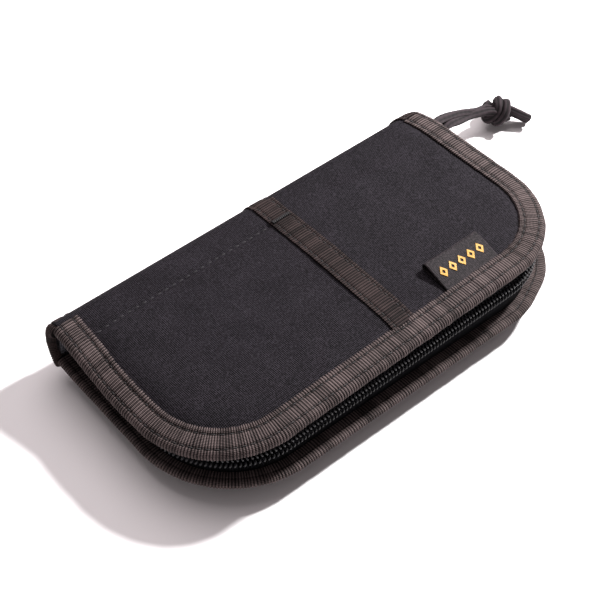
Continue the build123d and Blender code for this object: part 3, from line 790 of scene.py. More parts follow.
def stitch_row(name, path, inset, height, pitch=3.1, length=2.5, radius=THREAD, material=None):
    """A row of machine stitches at an inset along a path, each a short thread sunk at its ends."""
    base, inward, up, s = path
    line = base + inset * inward + height * up
    run = distance_along(line)
    rings = len(STITCH_SINK)
    points, faces = [], []
    for start in np.arange(0.4, run[-1] - length, pitch):
        start = start + rng.uniform(-0.12, 0.12)
        t = start + np.linspace(0, length, rings)
        centre, lift, side = follow(t, run, line), follow(t, run, up), follow(t, run, inward)
        faces += tube_faces(rings, STITCH_SIDES, len(points) * STITCH_SIDES)
        for k in range(rings):
            sunk = centre[k] + STITCH_SINK[k] * lift[k]
            points.append(ring_of_points(sunk, radius * STITCH_GIRTH[k], side[k], lift[k], STITCH_SIDES))
    piece = mesh_piece(name, np.concatenate(points), faces, material or SEWING)
    store(piece, "rib_and_shade", "FLOAT", np.full(len(piece.data.vertices), 0.5))
    return piece


def groove_stitches(name, path, grooves, width, **face):
    """A row of stitches in each groove of a tape's face, one after another."""
    for row, inset in enumerate(grooves):
        height = face_height(inset, width, grooves, **face) + STITCH_RISE
        yield stitch_row(f"{name}_{row + 1}", path, inset, height)


# ---------------- camera and light
EYE_AZIMUTH, EYE_ELEVATION, EYE_ROLL = radians(-44.03), radians(46.89), radians(4.13)
EYE_TARGET = np.array([-10.92, 6.08, 17.0])
EYE_DISTANCE = 466.13
LENS = 71.64


def facing(azimuth, elevation):
    """The right, up and outward directions of a view from that side."""
    back = np.array([sin(azimuth) * cos(elevation), -cos(azimuth) * cos(elevation), sin(elevation)])
    right = np.cross(-back, [0, 0, 1])
    right /= np.linalg.norm(right)
    return right, np.cross(right, -back), back


def build_camera():
    """The camera at the reference view: high, from the front left."""
    right, up, back = facing(EYE_AZIMUTH, EYE_ELEVATION)
    tilted_right = right * cos(EYE_ROLL) + up * sin(EYE_ROLL)
    tilted_up = up * cos(EYE_ROLL) - right * sin(EYE_ROLL)
    camera = bpy.data.objects.new("camera", bpy.data.cameras.new("camera"))
    bpy.context.scene.collection.objects.link(camera)
    camera.data.lens = LENS
    camera.data.sensor_width = 36.0
    camera.data.clip_start = 0.01
    place = (EYE_TARGET + back * EYE_DISTANCE) * MM
    turn = Matrix([tilted_right, tilted_up, back]).transposed().to_4x4()
    camera.matrix_world = Matrix.Translation(Vector(place)) @ turn
    bpy.context.scene.camera = camera


SKY_STRENGTH = 0.26
FLOOR_SIZE = 3.0
# Each light: azimuth and elevation of the side it comes from, its distance and size in metres,
# its power in watts and its colour.
KEY = (radians(88.5), radians(46), 0.88, 0.085, 17.0, (1.0, 1.0, 1.0))
FILL = (radians(160), radians(65), 1.1, 1.1, 7.9, (1.0, 0.925, 0.94))


def build_light(name, azimuth, elevation, distance, size, power, colour):
    """A round area light that faces the middle of the floor."""
    light = bpy.data.objects.new(name, bpy.data.lights.new(name, "AREA"))
    bpy.context.scene.collection.objects.link(light)
    light.data.energy = power
    light.data.shape = "DISK"
    light.data.size = size
    light.data.color = colour
    away = Vector(facing(azimuth, elevation)[2])
    light.location = away * distance
    light.rotation_euler = away.to_track_quat("Z", "Y").to_euler()


def build_stage():
    """A pale floor, a small key light from the right, a wide fill light from behind and a weak sky."""
    mesh = bpy.data.meshes.new("floor")
    corners = [(-1, -1), (1, -1), (1, 1), (-1, 1)]
    mesh.from_pydata([(x * FLOOR_SIZE, y * FLOOR_SIZE, 0) for x, y in corners], [], [(0, 1, 2, 3)])
    floor = bpy.data.objects.new("floor", mesh)
    bpy.context.scene.collection.objects.link(floor)
    material, tree, shader, place = new_material("floor_paper")
    grain = noise(tree, place, 30.0)
    paper = [(0.3, (0.90, 0.875, 0.88)), (0.7, (0.91, 0.885, 0.89))]
    link(tree, ramp(tree, grain, paper), shader.inputs["Base Color"])
    shader.inputs["Roughness"].default_value = 0.9
    mesh.materials.append(material)
    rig.stage(floor)
    build_light("key_light", *KEY)
    build_light("fill_light", *FILL)
    world = bpy.data.worlds.new("sky")
    world.use_nodes = True
    background = world.node_tree.nodes["Background"]
    background.inputs["Color"].default_value = (1.0, 0.925, 0.94, 1)
    background.inputs["Strength"].default_value = SKY_STRENGTH
    bpy.context.scene.world = world
    bpy.context.scene.view_settings.view_transform = "Standard"


build_camera()
build_stage()


# ---------------- the pull cord and its knot
CORD_DIAMETER = 4.0
UPPER_ROUTE = [
    (0.09375, 0.0376, 0.02411),
    (0.09375, 0.0380, 0.02761),
    (0.0975, 0.0414, 0.0288),
    (0.1046, 0.0438, 0.0266),
    (0.1149, 0.0459, 0.0224),
    (0.1251, 0.0477, 0.0177),
    (0.1340, 0.0486, 0.0134),
    (0.1395, 0.0492, 0.0112),
]
LOWER_ROUTE = [
    (0.09375, 0.0376, 0.02411),
    (0.09375, 0.0372, 0.02061),
    (0.0978, 0.0384, 0.0200),
    (0.1058, 0.0418, 0.0230),
    (0.1116, 0.0432, 0.0215),
    (0.1180, 0.0445, 0.0186),
    (0.1240, 0.0462, 0.0162),
    (0.1300, 0.0474, 0.0144),
    (0.1352, 0.0476, 0.0128),
]
UPPER_TAIL = [(0.1550, 0.0423, 0.0086), (0.1581, 0.0384, 0.0069), (0.1608, 0.0348, 0.0053)]
LOWER_TAIL = [(0.1570, 0.0444, 0.0055), (0.1602, 0.0405, 0.0038), (0.1628, 0.0369, 0.0022)]
# The middle line of the doubled cord round its knot, mm: right, up and out as seen from the knot's face.
KNOT_CENTRE = np.array([149.4, 47.5, 7.8])
KNOT_FACE = (radians(-44), radians(47))
KNOT_ROUTE = [
    (-4.8, -0.6, 4.4),
    (-1.0, -0.7, 3.4),
    (2.8, -1.4, 1.2),
    (4.6, -2.2, -2.2),
    (1.4, -1.0, -5.2),
    (-1.4, 2.1, -4.2),
    (-1.7, 3.1, -1.0),
    (-2.9, 0.2, 0.2),
    (-2.7, -4.6, 0.6),
    (-0.2, -5.4, 3.2),
    (2.2, -2.4, 6.2),
    (2.4, 2.2, 5.8),
    (2.3, 5.0, 1.6),
    (2.0, 3.6, -2.8),
    (2.2, 0.4, -2.8),
    (5.2, -0.2, -1.2),
]
STRAND_GAP = 1.75
KNOT_SKEW = np.array([1.0, -0.5, 0.5])
KNOT_STRETCH = np.array([1.08, 1.0, 1.0])


def knot_points(side):
    """One strand's way round the knot, m: side is 1 or -1, and the two strands lie next to each other."""
    middle = np.array(KNOT_ROUTE)
    along = unit(np.gradient(middle, axis=0))
    across = unit(KNOT_SKEW - (along @ KNOT_SKEW)[:, None] * along)
    strand = (middle + side * STRAND_GAP * across) * KNOT_STRETCH
    return [tuple(p) for p in (KNOT_CENTRE + strand @ np.array(facing(*KNOT_FACE))) * MM]


def spline_points(name, route, spacing=0.0004):
    """Evenly spaced points along a smooth NURBS line through space, m."""
    curve = bpy.data.curves.new(name, "CURVE")
    curve.dimensions = "3D"
    curve.resolution_u = 24
    spline = curve.splines.new("NURBS")
    spline.points.add(len(route) - 1)
    for point, place in zip(spline.points, route):
        point.co = (*place, 1)
    spline.order_u = 3
    spline.use_endpoint_u = True
    line = bpy.data.objects.new(name, curve)
    bpy.context.scene.collection.objects.link(line)
    mesh = bpy.data.meshes.new_from_object(line)
    points = np.array([vertex.co for vertex in mesh.vertices])
    bpy.data.objects.remove(line)
    bpy.data.meshes.remove(mesh)
    run = distance_along(points)
    even = np.linspace(0, run[-1], int(run[-1] / spacing) + 1)
    return follow(even, run, points), run[-1]


BRAID_SIDES = 36
BRAID_YARNS = 7
BRAID_LAY = 0.0085


def braided_cord(name, points, radius):
    """A woven cord as a mesh tube: fine crossing yarns and three long folds in its sheath."""
    count = len(points)
    along = unit(np.gradient(points, axis=0))
    side = np.zeros_like(points)
    first = np.cross(along[0], [0.0, 0.0, 1.0])
    side[0] = first / np.linalg.norm(first)
    for i in range(1, count):
        carried = side[i - 1] - (side[i - 1] @ along[i]) * along[i]
        side[i] = carried / np.linalg.norm(carried)
    over = np.cross(along, side)
    angle = np.arange(BRAID_SIDES) * 2 * pi / BRAID_SIDES
    run = distance_along(points)
    turn = run[:, None] * 2 * pi / BRAID_LAY
    yarns = np.sin(BRAID_YARNS * angle + turn) * np.sin(BRAID_YARNS * angle - turn)
    folds = np.abs(np.sin(2.5 * angle + 0.3 * np.sin(run[:, None] * 240)))
    taper = np.ones(count)
    taper[-3:] = (0.97, 0.86, 0.62)
    size = radius * taper[:, None] * (0.84 + 0.2 * folds + 0.03 * yarns)
    ring = np.cos(angle)[None, :, None] * side[:, None, :] + np.sin(angle)[None, :, None] * over[:, None, :]
    tube = (points[:, None, :] + size[..., None] * ring) / MM
    piece = closed_tube(name, tube, CORD)
    # Painted shade: the colour darkens in the creases between the sheath's folds.
    store(piece, "rib_and_shade", "FLOAT", np.clip(0.9 * folds + 0.15 * yarns, 0, 1))
    return piece


def build_cord(name, route, side, tail, *nodes):
    """One strand from the slider's bridge, through the knot, to its cut end."""
    points, length = spline_points(name, [*route, *knot_points(side), *tail])
    radius = CORD_DIAMETER * MM / 2
    piece = settle(braided_cord(name, points, radius), "slider", "cord", *nodes)
    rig.cord(
        piece,
        exit=route[0],
        length=length,
        diameter=CORD_DIAMETER * MM,
        far_end="bare",
        stiffness="limp",
        lay="loose",
        path=points,
    )
    print(f"{name}: {length:.4f} m")
    return piece


STRANDS = (("upper", UPPER_ROUTE, -1, UPPER_TAIL), ("lower", LOWER_ROUTE, 1, LOWER_TAIL))
for level, route, side, tail in STRANDS:
    nodes = (f"pull_cord_{level}", f"cord_tail_{level}", "pull_cord_knot")
    build_cord(f"pull_cord_{level}_strand", route, side, tail, *nodes)


# ---------------- the top cover
BAND_RIGHT = 9.5
BAND_WIDTH = 10.7
SEAM_Y = 31.4


def hump(t):
    """A rounded rise of height one at 0."""
    return np.exp(-(t**2))


def top_puff(u, y):
    """The height of the padded canvas over the top plane."""
    inside = TOP_EDGE.depth(u, y)
    rim = 1 - np.exp(-np.maximum(inside - BINDING_WIDTH + 0.6, 0) / 4.5)
    back = smooth((HINGE_Y - y) / 18)
    soft = 0.25 * np.sin(u / 23.0 + 0.8) * np.cos(y / 17.0) + 0.12 * np.sin(u / 9.0 + y / 7.0)
    return -0.85 + (1.1 + (0.5 + soft) * back) * rim


def panel_puff(u, y):
    """The slip pocket's front over it, drawn in along its seam and standing off a little at its mouth."""
    seam = 0.75 * hump((y - SEAM_Y) / 1.6) * smooth((TOP_HALF - BINDING_WIDTH + u) / 3)
    mouth = 0.5 * smooth((u + 14) / 24) * hump((y - 2) / 26)
    return top_puff(u, y) + 0.55 + mouth - seam * (1 - smooth((u + 4) / 4))


def cover_skin(name, place, outline, inset, left, right, height, low, pitch, material):
    """A padded sheet over a cover's plan, from grid lines across it, between two functions of u and y."""
    edge = outline.inset(inset)
    y = np.linspace(edge.front + 0.02, edge.back, int((edge.back - edge.front) / pitch) + 1)
    start, stop = edge.reach(y)
    start, stop = np.maximum(start, left), np.minimum(stop, right)
    share = np.linspace(0, 1, int((min(right, edge.right) - max(left, edge.left)) / pitch) + 1)
    u = start[:, None] + (stop - start)[:, None] * share[None, :]
    yy = np.broadcast_to(y[:, None], u.shape)
    top = place.point(u, yy, height(u, yy))
    base = place.point(u, yy, low(u, yy))
    return closed_sheet(name, top, base, material)


FAR = 1000.0
CANVAS_INSET = 9.4
PANEL_INSET = 9.0
LINING_INSET = 12.6


def flat(height):
    """A level face at that height."""
    return lambda u, y: np.full_like(u, height)


top_canvas = cover_skin(
    "top_canvas", TOP, TOP_EDGE, CANVAS_INSET, -FAR, FAR, top_puff, flat(-5.2), 1.3, CANVAS
)
settle(top_canvas, "top_cover", "canvas", "top_shell", "top_board", "top_foam")
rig.padded(top_canvas, fill=0.7)
PANEL_RIGHT = BAND_RIGHT - 0.4
panel = cover_skin(
    "slip_pocket_panel", TOP, TOP_EDGE, PANEL_INSET, -FAR, PANEL_RIGHT, panel_puff, flat(-0.5), 1.0, CANVAS
)
settle(panel, "top_cover", "canvas", "pocket_panel")
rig.sheet(
    panel,
    flat=((TOP_HALF + BAND_RIGHT - 9.4) * MM, (HINGE_Y - TOP_EDGE.front - PANEL_INSET) * MM),
    held="stretched",
    rests_on=["top_canvas"],
)


def lay_lining(cloth, edge, under):
    """Declares a cover's lining as the sheet it was cut from."""
    size = ((edge.right - edge.left) * MM, (edge.back - edge.front) * MM)
    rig.sheet(cloth, flat=size, held="stretched", rests_on=[under])


LINING_EDGE = Outline(WALL.left + 0.7, WALL.right - 0.7, WALL.front + 0.7, HINGE_Y - 0.4, WALL.radius - 0.7)
top_lining = cover_skin(
    "top_lining_cloth", TOP, LINING_EDGE, 0, -FAR, FAR, flat(-5.25), flat(-5.9), 1.6, LINING
)
settle(top_lining, "top_cover", "lining", "top_lining")
lay_lining(top_lining, LINING_EDGE, "top_canvas")


def build_zipper_wall(name, sign, cover, edge_height, body, node):
    """One half of the zipper tape: a standing wall from the zip line to its cover's bound edge."""
    x, y, nx, ny, s = WALL.walk(0.8)
    shift = 0.0 if sign > 0 else TOP_ORIGIN[0]
    rings = []
    for at_edge, inset in ((False, 0), (True, 0), (True, TAPE_THICKNESS), (False, TAPE_THICKNESS)):
        u, v = x - nx * inset, y - ny * inset
        at = cover.point(u + shift, v, edge_height) if at_edge else MIDDLE.point(u, v, sign * HALF_GAP)
        rings.append(at)
    piece = closed_tube(name, np.stack(rings, 1), TAPE)
    settle(piece, body, "zipper_tape", node)


TAPE_THICKNESS = 0.6
HALF_GAP = 0.35
build_zipper_wall("upper_zipper_wall", 1, TOP, -3.6, "top_cover", "upper_zipper_tape")
build_zipper_wall("lower_zipper_wall", -1, BASE, 3.0, "bottom_cover", "lower_zipper_tape")


def bottom_face(u, y):
    """The underside's canvas: it bulges down from its binding, and is flat where it meets the surface."""
    inside = np.minimum(BOTTOM_EDGE.depth(u, y) - BINDING_WIDTH + 0.6, HINGE_Y - y)
    belly = 1 - np.exp(-np.maximum(inside, 0) / BELLY_CURVE)
    return np.maximum(2.3 - BELLY_REACH * belly, 0.08 - LIFT)


def bottom_inside(u, y):
    """The padding's upper face, which starts inside the zipper wall."""
    return 2.9 + 1.3 * (BOTTOM_EDGE.depth(u, y) > BOTTOM_FIELD)


BELLY_CURVE = 4.5
BELLY_REACH = 11.0
BOTTOM_FIELD = 12.5
bottom_canvas = cover_skin(
    "bottom_canvas", BASE, BOTTOM_EDGE, CANVAS_INSET, -FAR, FAR, bottom_face, bottom_inside, 1.6, CANVAS
)
bottom_layers = ("bottom_shell", "bottom_board", "bottom_foam", "bottom_padding")
settle(bottom_canvas, "bottom_cover", "canvas", *bottom_layers)
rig.padded(bottom_canvas, fill=0.7)
bottom_lining = cover_skin(
    "bottom_lining_cloth", BASE, BOTTOM_EDGE, LINING_INSET, -FAR, FAR, flat(4.85), flat(4.25), 1.6, LINING
)
settle(bottom_lining, "bottom_cover", "lining", "bottom_lining")
lay_lining(bottom_lining, BOTTOM_EDGE.inset(LINING_INSET), "bottom_canvas")


# ---------------- the bound edges
TOP_DROP = 4.5
TOP_LEG = 4.6
TOP_GROOVES = (8.4, 2.9)
BOTTOM_LIFT = 1.7
BOTTOM_DROP = 2.4
CORNER_TUCK = 2.4
LIP = 10.4
LIP_GROOVES = (4.6,)
WALL_GAP = 0.2

top_path = rim_path(TOP_EDGE, TOP)
x, y = TOP_EDGE.walk(PATH_STEP)[:2]
top_reach = -WALL.depth(x, y) - WALL_GAP + TOP.bow * left_bow(y) * (x < BOW_START)
top_section = folded_section(BINDING_WIDTH, TOP_LEG, TOP_DROP, TOP_GROOVES)
top_tape = ribbed_strip("top_edge_tape", top_path, top_section, seed=3, reach=top_reach, grooves=TOP_GROOVES)
settle(top_tape, "top_cover", "binding", "top_binding")

bottom_path = rim_path(BOTTOM_EDGE, BASE, BOTTOM_LIFT, flip=True, tuck=CORNER_TUCK)
x, y = BOTTOM_EDGE.walk(PATH_STEP)[:2]
bottom_reach = -WALL.depth(x - TOP_ORIGIN[0], y) - WALL_GAP
bottom_section = folded_section(BINDING_WIDTH, LIP, BOTTOM_DROP, (), LIP_GROOVES)
bottom_tape = ribbed_strip(
    "bottom_edge_tape",
    bottom_path,
    bottom_section,
    seed=5,
    wave_height=0.08,
    reach=bottom_reach,
    grooves=LIP_GROOVES,
)
settle(bottom_tape, "bottom_cover", "binding", "bottom_binding")
for stitches in groove_stitches("top_edge_stitches", top_path, TOP_GROOVES, BINDING_WIDTH):
    settle(stitches, "top_cover", "thread")
lip_height = -BOTTOM_DROP - face_height(LIP_GROOVES[0], LIP, LIP_GROOVES) - STITCH_RISE
lip_stitches = stitch_row("bottom_edge_stitches", bottom_path, LIP_GROOVES[0] * 0.8, lip_height)
settle(lip_stitches, "bottom_cover", "thread")


# ---------------- the spine
SPINE_ANCHOR = (0, (HINGE_Y - 1) * MM, LIFT * MM)
SPINE_KEEP = 0.15


def settle_spine(piece, slot, *nodes):
    """A soft piece of the spine: it lies flat when the covers open."""
    settle(piece, "spine", slot, *nodes)
    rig.squash(piece, "spine_hinge", axis=(0, 1, 0), anchor=SPINE_ANCHOR, keep=SPINE_KEEP)
    return piece


def spine_sheet(name, x0, x1, outer, inner, material, pitch=1.3):
    """A curved layer of the spine between two faces, each (bulge, rise over the top plane, lower edge)."""
    x = np.linspace(x0, x1, int((x1 - x0) / pitch) + 1)
    angle = np.linspace(pi / 2, -pi / 2, 40)

    def layer(bulge, rise, low):
        high = (spine_height(x) + rise)[None, :]
        middle, half = (high + low) / 2, (high - low) / 2
        z = LIFT + middle + half * np.sin(angle)[:, None]
        y = HINGE_Y + bulge * np.cos(angle)[:, None] + 0 * half
        return np.stack([np.broadcast_to(x[None, :], y.shape), y, z], -1)

    return closed_sheet(name, layer(*outer), layer(*inner), material)


spine_lining_ends = (spine_low[0] + 2.4, spine_high[0] - 7.4)
spine_lining_cloth = spine_sheet(
    "spine_lining_cloth", *spine_lining_ends, (0.9, -4.9, 4.9), (0.2, -5.6, 5.6), LINING, pitch=2.0
)
settle_spine(spine_lining_cloth, "lining", "spine_lining")
SPINE_LINING_DEPTH = 17.1
spine_lining_length = spine_high[0] - spine_low[0] - 9.8
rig.sheet(
    spine_lining_cloth,
    flat=(spine_lining_length * MM, SPINE_LINING_DEPTH * MM),
    held="stretched",
    rests_on=["spine_canvas"],
)
spine_canvas = spine_sheet(
    "spine_canvas", spine_low[0] + 2, spine_high[0] - 7, (7.2, 0.25, 0.12), (1.6, -4.4, 4.4), CANVAS
)
settle_spine(spine_canvas, "canvas", "spine_shell", "spine_padding")
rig.padded(spine_canvas, fill=0.5)
SPINE_DROP = 5.4
SPINE_LEG = 4.6
spine_section = folded_section(BINDING_WIDTH, SPINE_LEG, SPINE_DROP, TOP_GROOVES)
for name, x, sign, node in (
    ("spine_edge_tape_left", spine_low[0] - 1.0, 1, "spine_binding_left"),
    ("spine_edge_tape_right", spine_high[0], -1, "spine_binding_right"),
):
    path = spine_path(x, sign, SPINE_BULGE + 0.8)
    tape = ribbed_strip(name, path, spine_section, seed=9, material=BAND_TAPE)
    settle_spine(tape, "binding", node)
    for stitches in groove_stitches(f"{name}_stitches", path, TOP_GROOVES, BINDING_WIDTH):
        settle_spine(stitches, "thread")


# ---------------- the band at the pocket's mouth
BAND_THICKNESS = 0.75
SELVAGE_LOOP = 1.0
BAND_CROWN = 0.15
BAND_GROOVES = (1.7, 9.0)


def band_section(width=BAND_WIDTH):
    """A flat tape with both selvages and a row of stitches near each."""
    grooves = (BAND_GROOVES[0], width - BAND_GROOVES[0])
    section = []
    for a in np.linspace(width, 0, 27):
        weight = 1.3 if min(a, width - a) < SELVAGE_LOOP else 1.0
        section.append((a, face_height(a, width, grooves, crown=BAND_CROWN), weight))
    section += [(0.2, -BAND_THICKNESS, 0.0), (width - 0.2, -BAND_THICKNESS, 0.0)]
    return section


def band_path():
    """From the front binding's inner edge, over the padded cover, to the top hinge line."""
    y = np.arange(TOP_EDGE.front + BINDING_WIDTH - 1.0, HINGE_Y + 0.01, PATH_STEP)
    u = np.full_like(y, BAND_RIGHT)
    height = panel_puff(u - BAND_WIDTH / 2, y) + 0.55
    base = TOP.point(u, y, height)
    along = unit(np.gradient(base, axis=0))
    inward = np.broadcast_to(-TOP.along, base.shape)
    up = np.cross(inward, along) * -1
    up = np.where((up @ TOP.up)[:, None] < 0, -up, up)
    return base, inward, up, distance_along(base)


band_line = band_path()
band_style = {"rib_height": 0.24, "material": BAND_TAPE}
band = ribbed_strip("pocket_mouth_band", band_line, band_section(), seed=11, **band_style)
settle(band, "top_cover", "binding", "pocket_band")
spine_band_line = spine_path(TOP_ORIGIN[0] + BAND_RIGHT, -1, SPINE_BULGE + 0.8, drawn=0.0)
spine_band = ribbed_strip("spine_mouth_band", spine_band_line, band_section(), seed=12, **band_style)
settle_spine(spine_band, "binding", "spine_band")
for stitches in groove_stitches("band_stitches", band_line, BAND_GROOVES, BAND_WIDTH, crown=BAND_CROWN):
    settle(stitches, "top_cover", "thread")


# ---------------- the pocket's seam and its bartack
def seam_path(u0, u1, y):
    """A straight seam along the length, on the pocket panel."""
    u = np.arange(u0, u1, 0.25)
    base = TOP.point(u, np.full_like(u, y), panel_puff(u, np.full_like(u, y)))
    inward = np.broadcast_to(np.array([0.0, 1.0, 0.0]), base.shape)
    return base, inward, np.broadcast_to(TOP.up, base.shape), u - u0


seam_line = seam_path(-TOP_HALF + BINDING_WIDTH + 0.5, BAND_RIGHT - BAND_WIDTH, SEAM_Y)
seam_style = {"pitch": 3.4, "length": 2.4, "radius": 0.28, "material": SEAM_THREAD}
seam = stitch_row("pocket_seam_stitches", seam_line, 0.0, 0.2, **seam_style)
settle(seam, "top_cover", "thread", "pocket_seam_thread")

BARTACK_LENGTH = 9.0
BARTACK_WIDTH = 1.9
BARTACK_PITCH = 0.42
BARTACK_THREAD = 0.26


def build_bartack():
    """A block of close zigzag stitches across the band, which holds the seam's end."""
    middle = BAND_RIGHT - BAND_WIDTH / 2
    rows = int(BARTACK_LENGTH / BARTACK_PITCH)
    points, faces = [], []
    rings, sides = 7, 6
    for row in range(rows):
        u = middle + (row - rows / 2) * BARTACK_PITCH
        side = BARTACK_WIDTH / 2 * (1 if row % 2 else -1)
        t = np.linspace(-1, 1, rings)
        y = SEAM_Y + side * t + rng.uniform(-0.08, 0.08)
        uu = u + 0.5 * BARTACK_PITCH * t
        height = panel_puff(np.full_like(y, middle), y) + 0.75 + 0.42 * (1 - t**2)
        centre = TOP.point(uu, y, height)
        faces += tube_faces(rings, sides, len(points) * sides)
        for k in range(rings):
            thick = BARTACK_THREAD * (1 - 0.5 * abs(t[k]) ** 6)
            points.append(ring_of_points(centre[k], thick, TOP.along, TOP.up, sides))
    piece = mesh_piece("pocket_bartack", np.concatenate(points), faces, SEWING)
    store(piece, "rib_and_shade", "FLOAT", np.full(len(piece.data.vertices), 0.5))
    settle(piece, "top_cover", "thread", "bartack")


build_bartack()


# ---------------- the zipper's coils
TOOTH_PITCH = 1.65
TOOTH_RADIUS = 0.38
COIL_BACK = HINGE_Y - 9.0
COIL_HEIGHT = 2.8
COIL_LEAN = 0.85


def build_coil(name, sign, body, node):
    """One row of nylon loops round the wall: each leaves the tape, comes out to its head and goes back."""
    line = WALL.inset(-0.1)
    line.back = COIL_BACK
    x, y, nx, ny, s = line.walk(0.2)
    starts = np.arange(TOOTH_PITCH / 2 + (TOOTH_PITCH / 2 if sign > 0 else 0), s[-1], TOOTH_PITCH)
    loop = np.linspace(0, 1, 9)
    out = COIL_DEPTH - TOOTH_RADIUS
    depth = out * np.sin(pi * loop) ** 0.45
    height = HALF_GAP + TOOTH_RADIUS + (COIL_HEIGHT - 2 * TOOTH_RADIUS) * loop
    lean = COIL_LEAN * (0.5 - loop)
    sides = 7
    points, faces = [], []
    for start in starts:
        place = start + lean
        xx, yy = np.interp(place, s, x), np.interp(place, s, y)
        nn = follow(place, s, np.stack([nx, ny], -1))
        centre = MIDDLE.point(xx + depth * nn[:, 0], yy + depth * nn[:, 1], sign * height)
        along = unit(np.gradient(centre, axis=0))
        side = MIDDLE.turn(-nn[:, 1], nn[:, 0])
        side = unit(side - np.sum(side * along, axis=1)[:, None] * along)
        over = np.cross(along, side)
        faces += tube_faces(len(loop), sides, len(points) * sides)
        for k in range(len(loop)):
            points.append(ring_of_points(centre[k], TOOTH_RADIUS, side[k], over[k], sides))
    piece = mesh_piece(name, np.concatenate(points), faces, NYLON)
    settle(piece, body, "coil", node)


build_coil("zipper_teeth_lower", -1, "bottom_cover", "lower_coil")
build_coil("zipper_teeth_upper", 1, "top_cover", "upper_coil")
paint(["bottom_stop", "upper_coil_stops"], NYLON)


# ---------------- the pocket inside
def build_inner_pocket():
    """A cloth pocket front on the bottom lining, drawn down at its sewn sides, and its bound mouth."""
    low, high = node_box("inner_pocket")
    mouth = node_box("inner_pocket_binding")[1][1]
    floor = low[2] - LIFT + 0.05
    edge = Outline(low[0], high[0], low[1], mouth, 28.0)

    def face(u, y):
        sewn = smooth(edge.depth(u, y) / 9)
        return floor + 0.55 + 0.75 * sewn * (0.7 + 0.3 * np.sin(u / 19) * np.cos(y / 23))

    cloth = cover_skin("inner_pocket_cloth", BASE, edge, 0, -FAR, FAR, face, flat(floor), 1.6, LINING)
    settle(cloth, "bottom_cover", "lining", "inner_pocket")
    u = np.arange(low[0] + 1, high[0] - 1, RIB / 4)
    at_mouth = np.full_like(u, mouth)
    base = BASE.point(u, at_mouth, face(u, at_mouth - 2) + 0.35)
    inward = np.broadcast_to(np.array([0.0, -1.0, 0.0]), base.shape)
    path = (base, inward, np.broadcast_to(BASE.up, base.shape), u - u[0])
    section = band_section(INNER_TAPE_WIDTH)
    tape = ribbed_strip("inner_pocket_mouth_tape", path, section, seed=15, rib_height=0.2)
    settle(tape, "bottom_cover", "binding", "inner_pocket_binding")
    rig.sheet(
        cloth,
        flat=((high[0] - low[0]) * MM, (mouth - low[1]) * MM),
        held="stretched",
        rests_on=["bottom_lining_cloth"],
        with_pieces=[tape],
    )


INNER_TAPE_WIDTH = 8.0
build_inner_pocket()


# ---------------- the slider
def rounded_plate(name, origin, size, thickness, bevel, dome, waist):
    """A plate across X with round corners, soft edges and, when waist is set, a narrower front half."""
    count = 48
    angle = np.arange(count) * 2 * pi / count
    power = 2 / 4.5
    y = size[0] / 2 * np.sign(np.cos(angle)) * np.abs(np.cos(angle)) ** power
    z = size[1] / 2 * np.sign(np.sin(angle)) * np.abs(np.sin(angle)) ** power
    z = z * (1 - waist * smooth(0.5 - y / size[0]))
    rings = []
    sides = ((0, bevel), (bevel, 0), (thickness - bevel, 0), (thickness, bevel))
    for x, shrink in (*sides, (thickness + dome, 4 * bevel)):
        keep_y, keep_z = 1 - 2 * shrink / size[0], 1 - 2 * shrink / size[1]
        ring = np.stack([np.full(count, x), y * keep_y, z * keep_z], -1)
        rings.append(ring + np.asarray(origin))
    return closed_tube(name, np.array(rings), METAL)


slider_y = ((slider_low + slider_high) / 2)[1]
SLIDER_Z = MIDDLE.point(np.array(WALL.right), np.array(0.0), np.array(0.0))[2]
PLATE = 1.2
WAIST = 0.22
slider_right = slider_high[0]
post_length = slider_right - slider_low[0] - 1.6
# Each part: its name, origin, size across, thickness, bevel, dome and waist.
SLIDER_PARTS = (
    ("outer_plate", (slider_right - PLATE, slider_y, SLIDER_Z), (9.0, 9.4), PLATE - 0.1, 0.25, 0.1, WAIST),
    ("inner_plate", (slider_low[0], slider_y, SLIDER_Z), (9.0, 8.2), PLATE, 0.25, 0.0, WAIST),
    ("post", (slider_low[0] + 0.8, slider_high[1] - 7.2, SLIDER_Z), (2.4, 0.7), post_length, 0.1, 0.0, 0.0),
    ("flange", (slider_right - PLATE - 1.9, slider_y, slider_low[2] + 0.35), (6.4, 0.7), 2.2, 0.12, 0.0, 0.0),
)
for part, *shape in SLIDER_PARTS:
    settle(rounded_plate(f"slider_{part}", *shape), "slider", "metal", "slider_body")
paint(["slider_bridge"], METAL)


# ---------------- the woven label
LABEL_LEFT = 27.5
LABEL_WIDTH = 28.0
LABEL_LENGTH = 14.0
LABEL_ROOT = TOP_EDGE.front + BINDING_WIDTH - 0.6
CLOTH = 0.36
LABEL_BEND = 3.0


def label_line(share):
    """The folded loop's middle line: out along the cover, round its fold and back; the root's share is 0."""
    fold = 1.15
    run = np.array([0.0, LABEL_LENGTH - fold, LABEL_LENGTH - fold + pi * fold])
    total = run[2] + LABEL_LENGTH - fold
    s = share * total
    turn = np.clip((s - run[1]) / fold, 0, pi)
    back = np.clip((s - run[2]) / (LABEL_LENGTH - fold), 0, 1)
    y = np.where(s < run[1], s, LABEL_LENGTH - fold + fold * np.sin(turn))
    y = np.where(back > 0, (LABEL_LENGTH - fold) * (1 - back), y)
    h = 0.3 + fold * (1 - np.cos(turn)) - (2 * fold - 0.5) * smooth(back * 0.98) * (back > 0)
    return y, h


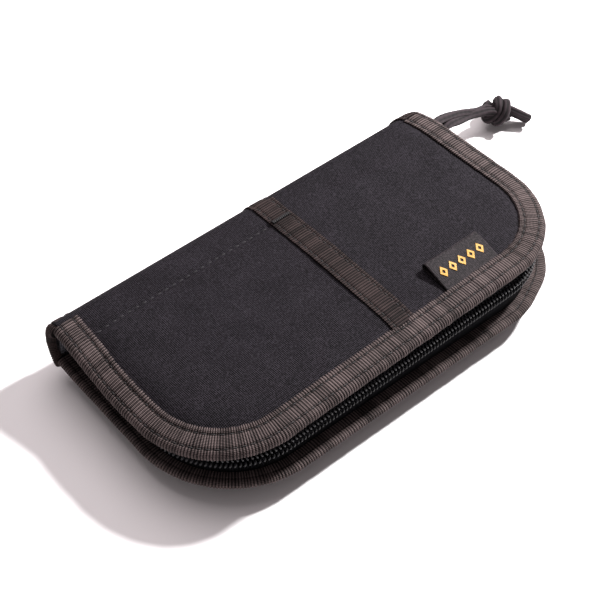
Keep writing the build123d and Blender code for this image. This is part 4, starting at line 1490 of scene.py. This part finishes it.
def label_point(u_share, share, offset):
    """A point on the label: both shares run from 0 to 1, and offset is out from its middle line."""
    y, h = label_line(share)
    y1, h1 = label_line(np.clip(share + 0.004, 0, 1))
    y0, h0 = label_line(np.clip(share - 0.004, 0, 1))
    dy, dh = y1 - y0, h1 - h0
    size = np.maximum(np.hypot(dy, dh), 1e-9)
    y, h = y + offset * dh / size, h - offset * dy / size
    u = LABEL_LEFT + LABEL_WIDTH * u_share
    away = np.clip(y / LABEL_LENGTH, 0, 1)
    open_side = 1 + 0.35 * (1 - smooth(u_share / 0.6))
    lift = h * open_side * (0.6 + 0.4 * away)
    ground = top_puff(u, LABEL_ROOT + y)
    return TOP.point(u, LABEL_ROOT + y, ground + 0.12 + lift)


def build_label():
    """A strip of woven tape folded in two and caught in the binding's seam."""
    u_share, share = np.meshgrid(np.linspace(0, 1, 44), np.linspace(0, 1, 70))
    outer_face = label_point(u_share, share, CLOTH / 2)
    inner_face = label_point(u_share, share, -CLOTH / 2)
    piece = closed_sheet("woven_label", outer_face, inner_face, LABEL)
    turn_faces_out(piece)
    root = label_point(0.5, 0.0, 0.0)
    held = root + LABEL_BEND * np.array([0.0, 1.0, 0.0])
    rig.blend(piece, "top_cover", "label", tuple(root * MM), tuple(held * MM))
    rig.slot(piece, "label")
    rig.replaces(piece, "label_tab")
    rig.sheet(
        piece,
        flat=(LABEL_WIDTH * MM, 2 * LABEL_LENGTH * MM),
        held="folded",
        rests_on=["top_canvas"],
        with_pieces=["label_motif"],
    )


def build_motif():
    """A row of plain lozenges embroidered along the label."""
    count, half_u, half_v, stroke, steps = 5, 0.066, 0.078, 0.42, 6
    points, faces = [], []
    for k in range(count):
        centre = 0.15 + 0.7 * k / (count - 1)
        ring = []
        for corner in range(4):
            for t in np.arange(steps) / steps:
                a, b = corner * pi / 2, (corner + 1) * pi / 2
                ring.append((cos(a) * (1 - t) + cos(b) * t, sin(a) * (1 - t) + sin(b) * t))
        ring = np.array(ring)
        first = len(points)
        for scale, offset in ((1.0, 0.1), (1.0, 0.42), (stroke, 0.42), (stroke, 0.1)):
            u_share = centre + half_u * scale * ring[:, 0]
            share = 0.765 + half_v * scale * ring[:, 1]
            points += list(label_point(u_share, share, CLOTH / 2 + offset - 0.12))
        size = len(ring)
        for layer in range(4):
            for j in range(size):
                n = (j + 1) % size
                here, beyond = first + layer * size, first + (layer + 1) % 4 * size
                faces.append((here + j, here + n, beyond + n, beyond + j))
    piece = mesh_piece("label_motif", np.array(points), faces, MOTIF, smooth=False)
    store(piece, "rib_and_shade", "FLOAT", np.full(len(piece.data.vertices), 0.5))
    settle(piece, "label", "label")


build_motif()
build_label()


visual_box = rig.bounds()
with open("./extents.json", "w") as file:
    json.dump({"cad": [list(p) for p in cad_box], "visual": [list(p) for p in visual_box]}, file)
